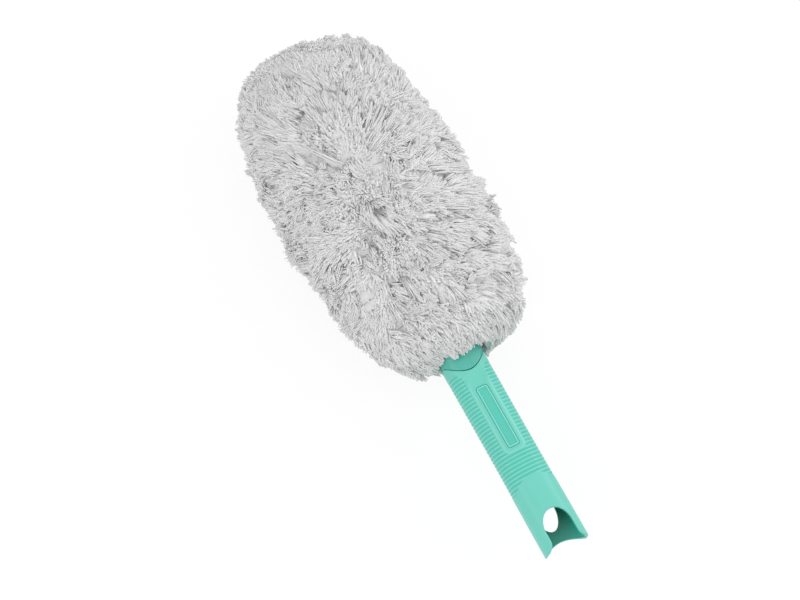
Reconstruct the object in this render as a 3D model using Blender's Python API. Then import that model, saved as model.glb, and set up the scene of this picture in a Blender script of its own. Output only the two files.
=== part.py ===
"""Hand duster: a hollow plastic grip, a head carrier that clicks into it, and a washable pile sleeve.

The duster lies flat with its length along X: head tip at -X, tail of the grip at +X, width along Y and
+Z up. Every piece is modelled about the handle's axis, and the empty duster_axis lifts that axis so
that the underside of the pile lies at z = 0. All sizes are in metres.
"""

import math

import bmesh
import bpy
import numpy as np

# Overall sizes
LENGTH = 0.405
HEAD_WIDTH = 0.140
HEAD_THICKNESS = 0.094
GRIP_LENGTH = 0.1475
PILE_OVERHANG = 0.0015  # how far the pile's end reaches past the side ends of the seam

# Grip
GRIP_WIDTH = 0.0320
GRIP_HEIGHT = 0.0260
GRIP_POWER = 2.4  # squareness of the rounded cross-section
GRIP_SIDES = 32
TAIL_WIDTH = 0.0331
TAIL_HEIGHT = 0.0266
FLARE_START = 0.062  # from the grip's front end, as are the next places along it
FLARE_END = 0.140
GRIP_WALL = 0.0022
SOCKET_DEPTH = 0.0505
WEB_THICKNESS = 0.0025
SEAM_DEPTH = 0.0105
SEAM_GAP = 0.0005

# Finger ribs, plaque and thumb rest of the grip
RIB_START = 0.0092
RIB_PITCH = 0.00276
RIB_COUNT = 34
RIB_HEIGHT = 0.0005
RIB_PANEL_EDGE = 0.0093  # the side panels start this far from the middle line
CROSS_RIB_COUNT = 7
CROSS_RIB_LAST = 3  # side ribs left behind the last cross rib
CROSS_RIB_HALF = 0.0075
PLAQUE_START = 0.0239
PLAQUE_LENGTH = 0.0482
PLAQUE_WIDTH = 0.0094
PLAQUE_CORNER = 0.0020
PLAQUE_GROOVE = 0.0006
PLAQUE_RIM = 0.0009
PLAQUE_DEPTH = 0.0007
THUMB_MIDDLE = 0.0175
THUMB_LENGTH = 0.0100
THUMB_HALF_WIDTH = 0.0075
THUMB_DEPTH = 0.0006

# Open tail of the grip
ARCH_APEX = 0.0265  # from the tail tips, as are the next places along the tail
ARCH_NOSE = 0.0128
ARCH_WIDTH = 0.0201
ARCH_FLARE = 0.0070
UNDER_ARCH_DEPTH = 0.0066
TIP_LAND = 0.0010
HANG_HOLE_MIDDLE = 0.0305
HANG_HOLE_LENGTH = 0.0303
HANG_HOLE_WIDTH = 0.0160

# Head carrier
PLUG_CLEARANCE = 0.0003
PLUG_END_GAP = 0.0050
PLUG_WALL = 0.0020
PLUG_BORE_DEPTH = 0.0340
NECK_LENGTH = 0.0120  # from the shoulder to the side ends of the seam
SHOULDER_LENGTH = 0.0155
BLADE_WIDTH = 0.0500
BLADE_THICKNESS = 0.0080
BLADE_NOSE = 0.0140
BLADE_NOSE_WIDTH = 0.0260
BLADE_POWER = 2.6

# Snap button and its spring
BUTTON_PLACE = 0.0285  # from the grip's front end
BUTTON_RADIUS = 0.0047
BUTTON_CLEARANCE = 0.0003
BUTTON_PROUD = 0.0012
BUTTON_DOME = 0.80  # share of its height above the skin that is domed
BUTTON_FLANGE = 0.0009
BUTTON_FLANGE_THICKNESS = 0.0015
BUTTON_SEAT_GAP = 0.0010
SPRING_WIDTH = 0.0070
SPRING_THICKNESS = 0.0006
SPRING_GAP = 0.0004
SPRING_REACH = 0.0040  # how far the legs run past the button's middle

# Sleeve: pocket, cuff and headings of the pile
SLEEVE_CLEARANCE = 0.0005
POCKET_WALL = 0.0015
CUFF_CLEARANCE = 0.0008
CUFF_WALL = 0.0016
CUFF_ON_NECK = 0.0045
SEW_GAP = 0.0003
HEADING_THICKNESS = 0.0015
HEADING_SPACE = 0.0070
CAP_SKIRT = 0.0073

# Pile
ROW_COUNT = 9
RING_CELLS = 24
CAP_CELLS_ACROSS = 8
TIP_COVER = 0.0362  # strand length over the closed end of the pocket
FLAT_CUT = 0.0005  # the strands that the duster lies on are cut level this deep
VALLEY = 0.0055  # opening between the tips of two rows
NECK_END_MARGIN = 0.0060  # the pile's outline would close this far past its cut end
TIP_TRIM = 0.0015  # trimmed off the strands that reach furthest ahead
SIDE_TRIM = 0.0008
PLAN_POWER_TIP = 2.9
PLAN_POWER_NECK = 2.5
PLAN_TAPER = 0.03
SIDE_POWER = 6.0
SIDE_ROUNDING = 2.2
GIRTH_POWER = 2.3
TIP_FILL = 0.56  # share of its cell's width and length that a strand's tip takes
TIP_SWAY = 0.18  # how far a tip may lean aside, as a share of its cell
UNEVENNESS = 0.06  # share of its length that a strand may fall short

# Places along X that follow from the sizes
TAIL_X = LENGTH / 2
HEAD_TIP_X = -LENGTH / 2
GRIP_X = TAIL_X - GRIP_LENGTH
PILE_END_X = GRIP_X + PILE_OVERHANG
NECK_X = GRIP_X - NECK_LENGTH
BLADE_END_X = NECK_X - SHOULDER_LENGTH
CAP_X = HEAD_TIP_X + TIP_COVER
POCKET_TIP_X = CAP_X + HEADING_THICKNESS + SEW_GAP
BLADE_TIP_X = POCKET_TIP_X + POCKET_WALL + SLEEVE_CLEARANCE
CUFF_X = BLADE_END_X - SLEEVE_CLEARANCE - CUFF_WALL
POCKET_MOUTH_X = CUFF_X - SEW_GAP
SHOULDER_PLACES = np.linspace(BLADE_END_X, NECK_X, 9)
OUTLINE_MIDDLE = (HEAD_TIP_X - TIP_TRIM + PILE_END_X + NECK_END_MARGIN) / 2
OUTLINE_REACH = PILE_END_X + NECK_END_MARGIN - OUTLINE_MIDDLE
AXIS_Z = HEAD_THICKNESS / 2 - FLAT_CUT

# Half sizes of the nested cross-sections, as (half width, half height)
GRIP_HALF = np.array([GRIP_WIDTH, GRIP_HEIGHT]) / 2
TAIL_HALF = np.array([TAIL_WIDTH, TAIL_HEIGHT]) / 2
SOCKET_HALF = GRIP_HALF - GRIP_WALL
PLUG_HALF = SOCKET_HALF - PLUG_CLEARANCE
PLUG_BORE_HALF = PLUG_HALF - PLUG_WALL
BLADE_HALF = np.array([BLADE_WIDTH, BLADE_THICKNESS]) / 2
POCKET_INNER_HALF = BLADE_HALF + SLEEVE_CLEARANCE
POCKET_OUTER_HALF = POCKET_INNER_HALF + POCKET_WALL
HEADING_INNER_HALF = POCKET_OUTER_HALF + SEW_GAP
HEADING_OUTER_HALF = HEADING_INNER_HALF + HEADING_THICKNESS

MARGIN = 0.002  # how far a cutter reaches past what it cuts
POLE_SIZE = 1e-9  # girth is measured on no smaller an outline than this
ROUND_SIDES = 24  # facets round the button and the two holes in the underside
SMOOTH_ANGLE = 40  # edges sharper than this stay creased, in degrees


def clear_scene():
    for obj in list(bpy.data.objects):
        bpy.data.objects.remove(obj, do_unlink=True)


def make_material(name, colour, roughness, metallic=0.0):
    material = bpy.data.materials.new(name)
    material.use_nodes = True
    shader = material.node_tree.nodes["Principled BSDF"]
    shader.inputs["Base Color"].default_value = (*colour, 1.0)
    shader.inputs["Roughness"].default_value = roughness
    shader.inputs["Metallic"].default_value = metallic
    return material


def finish_object(name, bm, parent, material=None, smooth=True):
    """Turn a bmesh into a named object that hangs from an empty."""
    bmesh.ops.recalc_face_normals(bm, faces=bm.faces)
    mesh = bpy.data.meshes.new(name)
    bm.to_mesh(mesh)
    bm.free()
    obj = bpy.data.objects.new(name, mesh)
    bpy.context.scene.collection.objects.link(obj)
    obj.parent = parent
    if material:
        mesh.materials.append(material)
    if smooth:
        mesh.shade_smooth()
        mesh.set_sharp_from_angle(angle=math.radians(SMOOTH_ANGLE))
    return obj


def boolean(obj, operation, guide):
    """Cut a hidden guide out of obj, or join it on."""
    modifier = obj.modifiers.new(operation.lower() + "_" + guide.name, "BOOLEAN")
    modifier.operation = operation
    modifier.solver = "EXACT"
    modifier.object = guide


def oval(half, power, sides):
    """Superellipse |y/w|^p + |z/h|^p = 1 as (y, z) points at even steps of its angle."""
    angle = np.arange(sides) * 2 * np.pi / sides
    cosine, sine = np.cos(angle), np.sin(angle)
    y = half[0] * np.sign(cosine) * np.abs(cosine) ** (2 / power)
    z = half[1] * np.sign(sine) * np.abs(sine) ** (2 / power)
    return np.stack([y, z], axis=1)


def even_oval(half, power, turns):
    """Points on the same curve at the given shares of its girth, counted from the +Y side."""
    dense = oval(half, power, 720)
    dense = np.vstack([dense, dense[:1]])
    steps = np.linalg.norm(np.diff(dense, axis=0), axis=1)
    share = np.concatenate([[0.0], np.cumsum(steps)]) / steps.sum()
    wrapped = np.mod(turns, 1.0)
    return np.stack([np.interp(wrapped, share, dense[:, k]) for k in (0, 1)], axis=-1)


def outward(section, half, power):
    """Unit normals of the curve at its points."""
    slope = np.sign(section) * np.abs(section / half) ** (power - 1) / half
    return slope / np.linalg.norm(slope, axis=1)[:, None]


def at(x, section):
    """Place a flat (y, z) section at x."""
    return np.column_stack([np.full(len(section), x), section])


def ellipse(centre_x, half_x, half_y):
    """Outline in plan on the middle line."""
    turns = np.arange(ROUND_SIDES) * 2 * np.pi / ROUND_SIDES
    return np.column_stack([centre_x + half_x * np.cos(turns), half_y * np.sin(turns)])


def close_band(bm, low, high):
    """Quads between two closed rings of vertices."""
    for i in range(len(low)):
        j = (i + 1) % len(low)
        bm.faces.new((low[i], low[j], high[j], high[i]))


def loft(rings):
    """Closed body through rings of equal count, with a face over the first and over the last."""
    bm = bmesh.new()
    levels = [[bm.verts.new(point) for point in ring] for ring in rings]
    for low, high in zip(levels, levels[1:]):
        close_band(bm, low, high)
    bm.faces.new(levels[0])
    bm.faces.new(levels[-1])
    return bm


def hoop(rings):
    """Closed body through rings of equal count, the last of which joins the first again."""
    bm = bmesh.new()
    levels = [[bm.verts.new(point) for point in ring] for ring in rings]
    for low, high in zip(levels, levels[1:] + levels[:1]):
        close_band(bm, low, high)
    return bm


def prism(outline, low, high, axis="z"):
    """Closed outline of (a, b) points carried along z from low to high, or along y if axis is y."""
    rings = []
    for level in (low, high):
        if axis == "z":
            rings.append([(a, b, level) for a, b in outline])
        else:
            rings.append([(a, level, b) for a, b in outline])
    return loft(rings)


def make_guide(name, bm, parent):
    """Hidden object that only booleans use."""
    guide = finish_object(name, bm, parent)
    guide.hide_render = True
    guide.display_type = "WIRE"
    return guide


def smooth_step(value, start, end):
    share = np.clip((value - start) / (end - start), 0.0, 1.0)
    return share * share * (3 - 2 * share)


def grip_half(x):
    """Half width and half height of the grip's skin at x: even in front, flared to the tail."""
    flare = smooth_step(x, GRIP_X + FLARE_START, GRIP_X + FLARE_END)
    return GRIP_HALF + (TAIL_HALF - GRIP_HALF) * flare


def seam_x(y):
    """The seam between neck and grip: a parabola whose apex points to the tail."""
    return GRIP_X + SEAM_DEPTH * (1 - (y / GRIP_HALF[0]) ** 2)


def seam_cutter(name, parent, side, shift):
    """Prism on one side of the seam: side -1 towards the head, +1 towards the tail."""
    reach = TAIL_HALF.max() + MARGIN
    curve = [(seam_x(y) + shift, y) for y in np.linspace(-reach, reach, 33)]
    edge_x = GRIP_X + side * (SEAM_DEPTH + SOCKET_DEPTH)
    outline = curve + [(edge_x, reach), (edge_x, -reach)]
    return make_guide(name, prism(outline, -reach, reach), parent)


def ribbed_ring(x, groove, cross_groove):
    """One outer ring of the grip, sunk by the rib height where its panels are grooved."""
    half = grip_half(x)
    ring = oval(half, GRIP_POWER, GRIP_SIDES)
    across = np.abs(ring[:, 0])
    sink = groove * RIB_HEIGHT * (across > RIB_PANEL_EDGE)
    on_top = ring[:, 1] > 0
    sink += cross_groove * RIB_HEIGHT * (on_top & (across < CROSS_RIB_HALF))
    thumb = 1 - (2 * (x - GRIP_X - THUMB_MIDDLE) / THUMB_LENGTH) ** 2
    sink += max(thumb, 0.0) * THUMB_DEPTH * (on_top & (across < THUMB_HALF_WIDTH))
    return at(x, ring - outward(ring, half, GRIP_POWER) * sink[:, None])


def grip_rings():
    """Rings from the bottom of the socket, out round the skin, and back down the tail cavity."""
    front = GRIP_X - MARGIN
    socket_end = GRIP_X + SOCKET_DEPTH
    rings = [at(x, oval(SOCKET_HALF, GRIP_POWER, GRIP_SIDES)) for x in (socket_end, front)]
    rings.append(ribbed_ring(front, 0, 0))
    first_cross = RIB_COUNT - CROSS_RIB_LAST - CROSS_RIB_COUNT
    for half_pitch in range(2 * RIB_COUNT + 1):
        x = GRIP_X + RIB_START + half_pitch * RIB_PITCH / 2
        groove = half_pitch % 2
        crossed = 2 * first_cross < half_pitch < 2 * (RIB_COUNT - CROSS_RIB_LAST)
        rings.append(ribbed_ring(x, groove, groove * crossed))
    ribs_end = GRIP_X + RIB_START + RIB_COUNT * RIB_PITCH
    for x in np.linspace(ribs_end, TAIL_X, 5)[1:]:
        rings.append(ribbed_ring(x, 0, 0))
    for x in np.linspace(TAIL_X, socket_end + WEB_THICKNESS, 6):
        rings.append(at(x, oval(grip_half(x) - GRIP_WALL, GRIP_POWER, GRIP_SIDES)))
    return rings


def rounded_rectangle(x0, x1, half_width, corner, steps=4):
    """Outline in plan with quarter-circle corners."""
    outline = []
    corners = ((x1, 1, 0), (x0, 1, 90), (x0, -1, 180), (x1, -1, 270))
    for x, side, start in corners:
        centre_x = x - corner if x == x1 else x + corner
        centre_y = side * (half_width - corner)
        for k in range(steps + 1):
            angle = math.radians(start + 90 * k / steps)
            outline.append((centre_x + corner * math.cos(angle), centre_y + corner * math.sin(angle)))
    return outline


def plaque_cutters(parent):
    """The groove round the name plaque and the sunk field inside its raised rim."""
    floor = GRIP_HALF[1] - PLAQUE_DEPTH
    top = GRIP_HALF[1] + MARGIN
    x0 = GRIP_X + PLAQUE_START
    x1 = x0 + PLAQUE_LENGTH
    half = PLAQUE_WIDTH / 2
    outlines = []
    for inset in (0.0, PLAQUE_GROOVE, PLAQUE_GROOVE + PLAQUE_RIM):
        corner = max(PLAQUE_CORNER - inset, PLAQUE_GROOVE)
        outlines.append(rounded_rectangle(x0 + inset, x1 - inset, half - inset, corner))
    groove_rings = []
    for outline, level in ((0, floor), (0, top), (1, top), (1, floor)):
        groove_rings.append([(x, y, level) for x, y in outlines[outline]])
    return [
        make_guide("cut_plaque_groove", hoop(groove_rings), parent),
        make_guide("cut_plaque_field", prism(outlines[2], floor, top), parent),
    ]


def tail_cutters(parent):
    """The bell-shaped arch in the top wall, the shallow arch below it, and the hang hole."""
    above = TAIL_HALF[1] + MARGIN
    past = TAIL_X + MARGIN
    half_width = ARCH_WIDTH / 2
    tip_y = TAIL_HALF[0] - TIP_LAND
    nose_x = TAIL_X - ARCH_APEX + ARCH_NOSE
    flare_x = TAIL_X - ARCH_FLARE
    side = []
    for angle in np.radians(np.linspace(0, 90, 9)):
        side.append((nose_x - ARCH_NOSE * math.cos(angle), half_width * math.sin(angle)))
    for angle in np.radians(np.linspace(0, 90, 7)):
        spread = (tip_y - half_width) * (1 - math.cos(angle))
        side.append((flare_x + ARCH_FLARE * math.sin(angle), half_width + spread))
    side.append((past, tip_y))
    arch = side + [(x, -y) for x, y in reversed(side[1:])]

    below = []
    for y in np.linspace(-tip_y, tip_y, 17):
        below.append((TAIL_X - UNDER_ARCH_DEPTH * (1 - (y / tip_y) ** 2), y))
    below += [(past, tip_y), (past, -tip_y)]

    hole = ellipse(TAIL_X - HANG_HOLE_MIDDLE, HANG_HOLE_LENGTH / 2, HANG_HOLE_WIDTH / 2)
    return [
        make_guide("cut_top_arch", prism(arch, 0.0, above), parent),
        make_guide("cut_under_arch", prism(below, -above, 0.0), parent),
        make_guide("cut_hang_hole", prism(hole, -above, 0.0), parent),
    ]


def button_bore(name, parent):
    """Round cutter for the snap button's hole, through the underside only."""
    radius = BUTTON_RADIUS + BUTTON_CLEARANCE
    circle = ellipse(GRIP_X + BUTTON_PLACE, radius, radius)
    return make_guide(name, prism(circle, -GRIP_HALF[1] - MARGIN, 0.0), parent)


def make_grip(parent, material):
    grip = finish_object("grip", loft(grip_rings()), parent, material)
    boolean(grip, "DIFFERENCE", seam_cutter("cut_grip_seam", parent, -1, 0.0))
    for guide in tail_cutters(parent) + plaque_cutters(parent):
        boolean(grip, "DIFFERENCE", guide)
    boolean(grip, "DIFFERENCE", button_bore("cut_grip_button_hole", parent))
    return grip


def carrier_section(x, clearance):
    """Even ring on the carrier's skin at x, from blade to neck, moved out by a clearance."""
    share = smooth_step(x, BLADE_END_X, NECK_X)
    half = BLADE_HALF + (GRIP_HALF - BLADE_HALF) * share
    power = BLADE_POWER + (GRIP_POWER - BLADE_POWER) * share
    ring = even_oval(half, power, np.arange(RING_CELLS) / RING_CELLS)
    return at(x, ring + outward(ring, half, power) * clearance)


def make_head_carrier(parent, material):
    """Blade, shoulder, neck tongue and hollow plug, moulded as one piece."""
    rings = []
    for angle in np.radians((0, 25, 50, 72, 90)):
        x = BLADE_TIP_X + BLADE_NOSE * (1 - math.cos(angle))
        width = BLADE_NOSE_WIDTH + (BLADE_WIDTH - BLADE_NOSE_WIDTH) * math.sin(angle)
        section = carrier_section(BLADE_TIP_X, 0.0)[:, 1:] * (width / BLADE_WIDTH, 1)
        rings.append(at(x, section))
    for x in SHOULDER_PLACES:
        rings.append(carrier_section(x, 0.0))
    rings.append(carrier_section(GRIP_X, -GRIP_WALL))
    carrier = finish_object("head_carrier", loft(rings), parent, material)

    neck_rings = [carrier_section(x, 0.0) for x in (NECK_X, GRIP_X + SEAM_DEPTH + MARGIN)]
    neck = make_guide("neck_tongue", loft(neck_rings), parent)
    boolean(neck, "DIFFERENCE", seam_cutter("cut_neck_seam", parent, 1, -SEAM_GAP))

    plug_end = GRIP_X + SOCKET_DEPTH - PLUG_END_GAP
    plug_oval = oval(PLUG_HALF, GRIP_POWER, GRIP_SIDES)
    plug_rings = [at(x, plug_oval) for x in (NECK_X + MARGIN, plug_end)]
    bore_oval = oval(PLUG_BORE_HALF, GRIP_POWER, GRIP_SIDES)
    bore_rings = [at(x, bore_oval) for x in (plug_end - PLUG_BORE_DEPTH, plug_end + MARGIN)]
    boolean(carrier, "UNION", neck)
    boolean(carrier, "UNION", make_guide("plug", loft(plug_rings), parent))
    boolean(carrier, "DIFFERENCE", make_guide("cut_plug_bore", loft(bore_rings), parent))
    boolean(carrier, "DIFFERENCE", button_bore("cut_plug_button_hole", parent))
    return carrier


def make_snap_button(parent, material):
    """Domed button with a flange that holds it inside the plug. Its origin is on the grip's skin."""
    skin = -GRIP_HALF[1]
    seat = -PLUG_BORE_HALF[1] + BUTTON_SEAT_GAP
    flange_radius = BUTTON_RADIUS + BUTTON_FLANGE
    dome = BUTTON_PROUD * BUTTON_DOME
    profile = [
        (flange_radius, seat + BUTTON_FLANGE_THICKNESS),
        (flange_radius, seat),
        (BUTTON_RADIUS, seat),
    ]
    for angle in np.radians((0, 30, 60)):
        z = skin - (BUTTON_PROUD - dome) - dome * math.sin(angle)
        profile.append((BUTTON_RADIUS * math.cos(angle), z))
    rings = []
    for radius, z in profile:
        rings.append([(x, y, z - skin) for x, y in ellipse(0.0, radius, radius)])
    button = finish_object("snap_button", loft(rings), parent, material)
    button.location = (GRIP_X + BUTTON_PLACE, 0.0, skin)
    return button


def make_snap_spring(parent, material):
    """Bent steel leaf: the lower leg carries the button, the upper leg bears on the plug's bore."""
    low = -PLUG_BORE_HALF[1] + BUTTON_SEAT_GAP + BUTTON_FLANGE_THICKNESS + SPRING_GAP
    high = PLUG_BORE_HALF[1] - SPRING_GAP
    middle = (high + low) / 2
    leg_x = GRIP_X + BUTTON_PLACE + SPRING_REACH
    bend_x = GRIP_X + BUTTON_PLACE - BUTTON_RADIUS
    outer_bend = (high - low) / 2
    faces = []
    for bend in (outer_bend, outer_bend - SPRING_THICKNESS):
        face = [(leg_x, middle - bend)]
        for angle in np.radians(np.linspace(270, 90, 9)):
            face.append((bend_x + bend * math.cos(angle), middle + bend * math.sin(angle)))
        face.append((leg_x, middle + bend))
        faces.append(face)
    outline = faces[0] + faces[1][::-1]
    bm = prism(outline, -SPRING_WIDTH / 2, SPRING_WIDTH / 2, axis="y")
    return finish_object("snap_spring", bm, parent, material)


def make_sleeve_pocket(parent, material):
    """Closed fabric tube that slides over the blade."""
    turns = np.arange(RING_CELLS) / RING_CELLS
    outer = even_oval(POCKET_OUTER_HALF, BLADE_POWER, turns)
    inner = even_oval(POCKET_INNER_HALF, BLADE_POWER, turns)
    rings = [at(POCKET_TIP_X, outer), at(POCKET_MOUTH_X, outer)]
    rings += [at(POCKET_MOUTH_X, inner), at(POCKET_TIP_X + POCKET_WALL, inner)]
    return finish_object("sleeve_pocket", loft(rings), parent, material)


def make_elastic_cuff(parent, material):
    """Elastic band sewn to the pocket's mouth, drawn in from the blade's width to the neck."""
    end_x = NECK_X + CUFF_ON_NECK
    places = [CUFF_X, *SHOULDER_PLACES, end_x]
    rings = [carrier_section(x, CUFF_CLEARANCE + CUFF_WALL) for x in places]
    rings += [carrier_section(x, CUFF_CLEARANCE) for x in reversed(places)]
    return finish_object("elastic_cuff", hoop(rings), parent, material)


def pile_half(x):
    """Half width and half thickness of the pile's outline at x."""
    along = (x - OUTLINE_MIDDLE) / OUTLINE_REACH
    power = PLAN_POWER_TIP if along < 0 else PLAN_POWER_NECK
    reach = min(abs(along), 1.0)
    side = HEAD_WIDTH / 2 + SIDE_TRIM
    width = side * (1 + PLAN_TAPER * along) * (1 - reach**power) ** (1 / power)
    thickness = HEAD_THICKNESS / 2 * (1 - reach**SIDE_POWER) ** (1 / SIDE_ROUNDING)
    return width, thickness


def pile_point(x, turn):
    """Point on the pile's outline at x and at a share of the girth."""
    y, z = even_oval(np.maximum(pile_half(x), POLE_SIZE), GIRTH_POWER, turn)
    return np.array([x, y, z])


def trimmed(point):
    """Tips are trimmed to the head's length and width, and level where the duster lies on them."""
    x = min(max(point[0], HEAD_TIP_X), PILE_END_X)
    y = min(max(point[1], -HEAD_WIDTH / 2), HEAD_WIDTH / 2)
    return (x, y, max(point[2], -AXIS_Z))


def add_strand(bm, base, tip_cell, length, lean):
    """Grow one four-sided strand from a cell of the heading to its share of the pile's outline."""
    root = np.mean([np.array(vert.co) for vert in base], axis=0)
    tip_cell = np.array(tip_cell)
    along = (tip_cell[[1, 2]].mean(axis=0) - tip_cell[[0, 3]].mean(axis=0)) / 2
    around = (tip_cell[[3, 2]].mean(axis=0) - tip_cell[[0, 1]].mean(axis=0)) / 2
    middle = tip_cell.mean(axis=0) + 2 * (along * lean[0] + around * lean[1])
    middle = root + (middle - root) * length
    if middle[2] < -AXIS_Z:
        along[2] = around[2] = 0.0
    tip = []
    for u, v in ((-1, -1), (1, -1), (1, 1), (-1, 1)):
        corner = middle + (u * along + v * around) * TIP_FILL
        tip.append(bm.verts.new(trimmed(corner)))
    for i in range(4):
        j = (i + 1) % 4
        bm.faces.new((base[i], base[j], tip[j], tip[i]))
    bm.faces.new(tip)


def strand_line(bm, low, high, x0, x1, chance):
    """One line of strands round the heading, between two of its rings of vertices."""
    lengths = 1 - UNEVENNESS * chance.random(RING_CELLS)
    leans = chance.uniform(-TIP_SWAY, TIP_SWAY, (RING_CELLS, 2))
    quarter = RING_CELLS // 4
    for k in (0, 2 * quarter, 3 * quarter):  # these set the width, or carry the duster as it lies
        lengths[[k - 1, k]] = 1
        leans[[k - 1, k]] = 0
    for i in range(RING_CELLS):
        j = (i + 1) % RING_CELLS
        corners = ((x0, i), (x1, i), (x1, i + 1), (x0, i + 1))
        cell = [pile_point(x, k / RING_CELLS) for x, k in corners]
        add_strand(bm, (low[i], high[i], high[j], low[j]), cell, lengths[i], leans[i])


def heading_ring(bm, x, half):
    """Ring of vertices, one at each edge between two strands."""
    turns = np.arange(RING_CELLS) / RING_CELLS
    return [bm.verts.new(point) for point in at(x, even_oval(half, BLADE_POWER, turns))]


def make_pile_row(row, parent, material):
    """A heading tape round the pocket with its lines of strands. The row at the neck has three."""
    slot = (POCKET_MOUTH_X - POCKET_TIP_X - CAP_SKIRT) / (ROW_COUNT - 1)
    x1 = POCKET_TIP_X + CAP_SKIRT + slot * row
    x0 = x1 - slot + HEADING_SPACE
    last = row == ROW_COUNT - 1
    lines = 3 if last else 2
    pitch = (PILE_END_X - HEAD_TIP_X) / ROW_COUNT
    tip_x0 = HEAD_TIP_X + pitch * row + VALLEY / 2
    tip_x1 = PILE_END_X if last else HEAD_TIP_X + pitch * (row + 1) - VALLEY / 2

    bm = bmesh.new()
    inner = [heading_ring(bm, x, HEADING_INNER_HALF) for x in (x0, x1)]
    outer = [heading_ring(bm, x, HEADING_OUTER_HALF) for x in np.linspace(x0, x1, lines + 1)]
    tips = np.linspace(tip_x0, tip_x1, lines + 1)
    chance = np.random.default_rng(row)
    for line in range(lines):
        strand_line(bm, outer[line], outer[line + 1], tips[line], tips[line + 1], chance)
    close_band(bm, inner[0], inner[1])
    close_band(bm, inner[0], outer[0])
    close_band(bm, outer[-1], inner[1])
    return finish_object(f"pile_row_{row + 1:02d}", bm, parent, material, smooth=False)


def cap_turn(a, b):
    """Share of the girth for a point of the cap's square grid, whose corners lie on cell edges."""
    side_cells = (RING_CELLS - 2 * CAP_CELLS_ACROSS) / 4
    if abs(a) >= abs(b):
        cell = side_cells * b / abs(a) if a else 0.0
        cell = cell if a > 0 else RING_CELLS / 2 - cell
    else:
        cell = RING_CELLS / 4 - CAP_CELLS_ACROSS / 2 * a / abs(b)
        cell = cell if b > 0 else -cell
    return cell / RING_CELLS


def dome_point(a, b, edge_x):
    """Point on the pile's dome over the head tip, for a point of the cap's square grid."""
    reach = max(abs(a), abs(b))
    edge = (OUTLINE_MIDDLE - edge_x) / OUTLINE_REACH
    edge_width = (1 - edge**PLAN_POWER_TIP) ** (1 / PLAN_POWER_TIP)
    along = (1 - (reach * edge_width) ** PLAN_POWER_TIP) ** (1 / PLAN_POWER_TIP)
    return pile_point(OUTLINE_MIDDLE - OUTLINE_REACH * along, cap_turn(a, b))


def make_tip_row(parent, material):
    """The heading that closes the head tip: a cap with a skirt, with strands all over both."""
    skirt_x = POCKET_TIP_X + CAP_SKIRT
    pitch = (PILE_END_X - HEAD_TIP_X) / ROW_COUNT
    tip_end = HEAD_TIP_X + pitch - VALLEY / 2
    dome_edge = HEAD_TIP_X + pitch / 2
    across, high = CAP_CELLS_ACROSS, RING_CELLS // 2 - CAP_CELLS_ACROSS

    bm = bmesh.new()
    inner_rim = heading_ring(bm, skirt_x, HEADING_INNER_HALF)
    inner_cap = heading_ring(bm, CAP_X + HEADING_THICKNESS, HEADING_INNER_HALF)
    outer_rim = heading_ring(bm, skirt_x, HEADING_OUTER_HALF)
    outer_cap = heading_ring(bm, CAP_X, HEADING_OUTER_HALF)
    close_band(bm, inner_rim, inner_cap)
    close_band(bm, inner_rim, outer_rim)
    bm.faces.new(inner_cap)
    chance = np.random.default_rng(0)
    strand_line(bm, outer_cap, outer_rim, dome_edge, tip_end, chance)

    grid = {}
    for i in range(across + 1):
        for j in range(high + 1):
            a, b = 2 * i / across - 1, 2 * j / high - 1
            turn = cap_turn(a, b)
            reach = max(abs(a), abs(b))
            if reach == 1:
                grid[i, j] = outer_cap[round(turn * RING_CELLS) % RING_CELLS]
            else:
                y, z = even_oval(HEADING_OUTER_HALF, BLADE_POWER, turn) * reach
                grid[i, j] = bm.verts.new((CAP_X, y, z))
    leans = chance.uniform(-TIP_SWAY, TIP_SWAY, (across, high, 2))
    for i in range(across):
        for j in range(high):
            places = ((i, j), (i + 1, j), (i + 1, j + 1), (i, j + 1))
            cell = [dome_point(2 * p / across - 1, 2 * q / high - 1, dome_edge) for p, q in places]
            add_strand(bm, [grid[place] for place in places], cell, 1.0, leans[i, j])
    return finish_object("pile_row_01", bm, parent, material, smooth=False)


def make_empty(name, parent, location):
    empty = bpy.data.objects.new(name, None)
    bpy.context.scene.collection.objects.link(empty)
    empty.parent = parent
    empty.location = location
    return empty


clear_scene()

mint = make_material("mint_plastic", (0.165, 0.651, 0.539), 0.42)
mint_inside = make_material("mint_plastic_carrier", (0.150, 0.600, 0.500), 0.50)
steel = make_material("spring_steel", (0.56, 0.57, 0.58), 0.30, 1.0)
backing = make_material("backing_fabric", (0.70, 0.70, 0.70), 0.95)
elastic = make_material("elastic_band", (0.62, 0.63, 0.64), 0.90)
pile = make_material("white_pile", (0.78, 0.78, 0.78), 0.95)

duster_axis = make_empty("duster_axis", None, (0.0, 0.0, AXIS_Z))
sleeve_slide = make_empty("sleeve_slide", duster_axis, (0.0, 0.0, 0.0))

make_grip(duster_axis, mint)
make_head_carrier(duster_axis, mint_inside)
make_snap_button(duster_axis, mint)
make_snap_spring(duster_axis, steel)
make_sleeve_pocket(sleeve_slide, backing)
make_elastic_cuff(sleeve_slide, elastic)
make_tip_row(sleeve_slide, pile)
for row in range(1, ROW_COUNT):
    make_pile_row(row, sleeve_slide, pile)
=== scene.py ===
import math

import bmesh
import bpy
import numpy as np
from mathutils import Matrix, Vector


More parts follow.
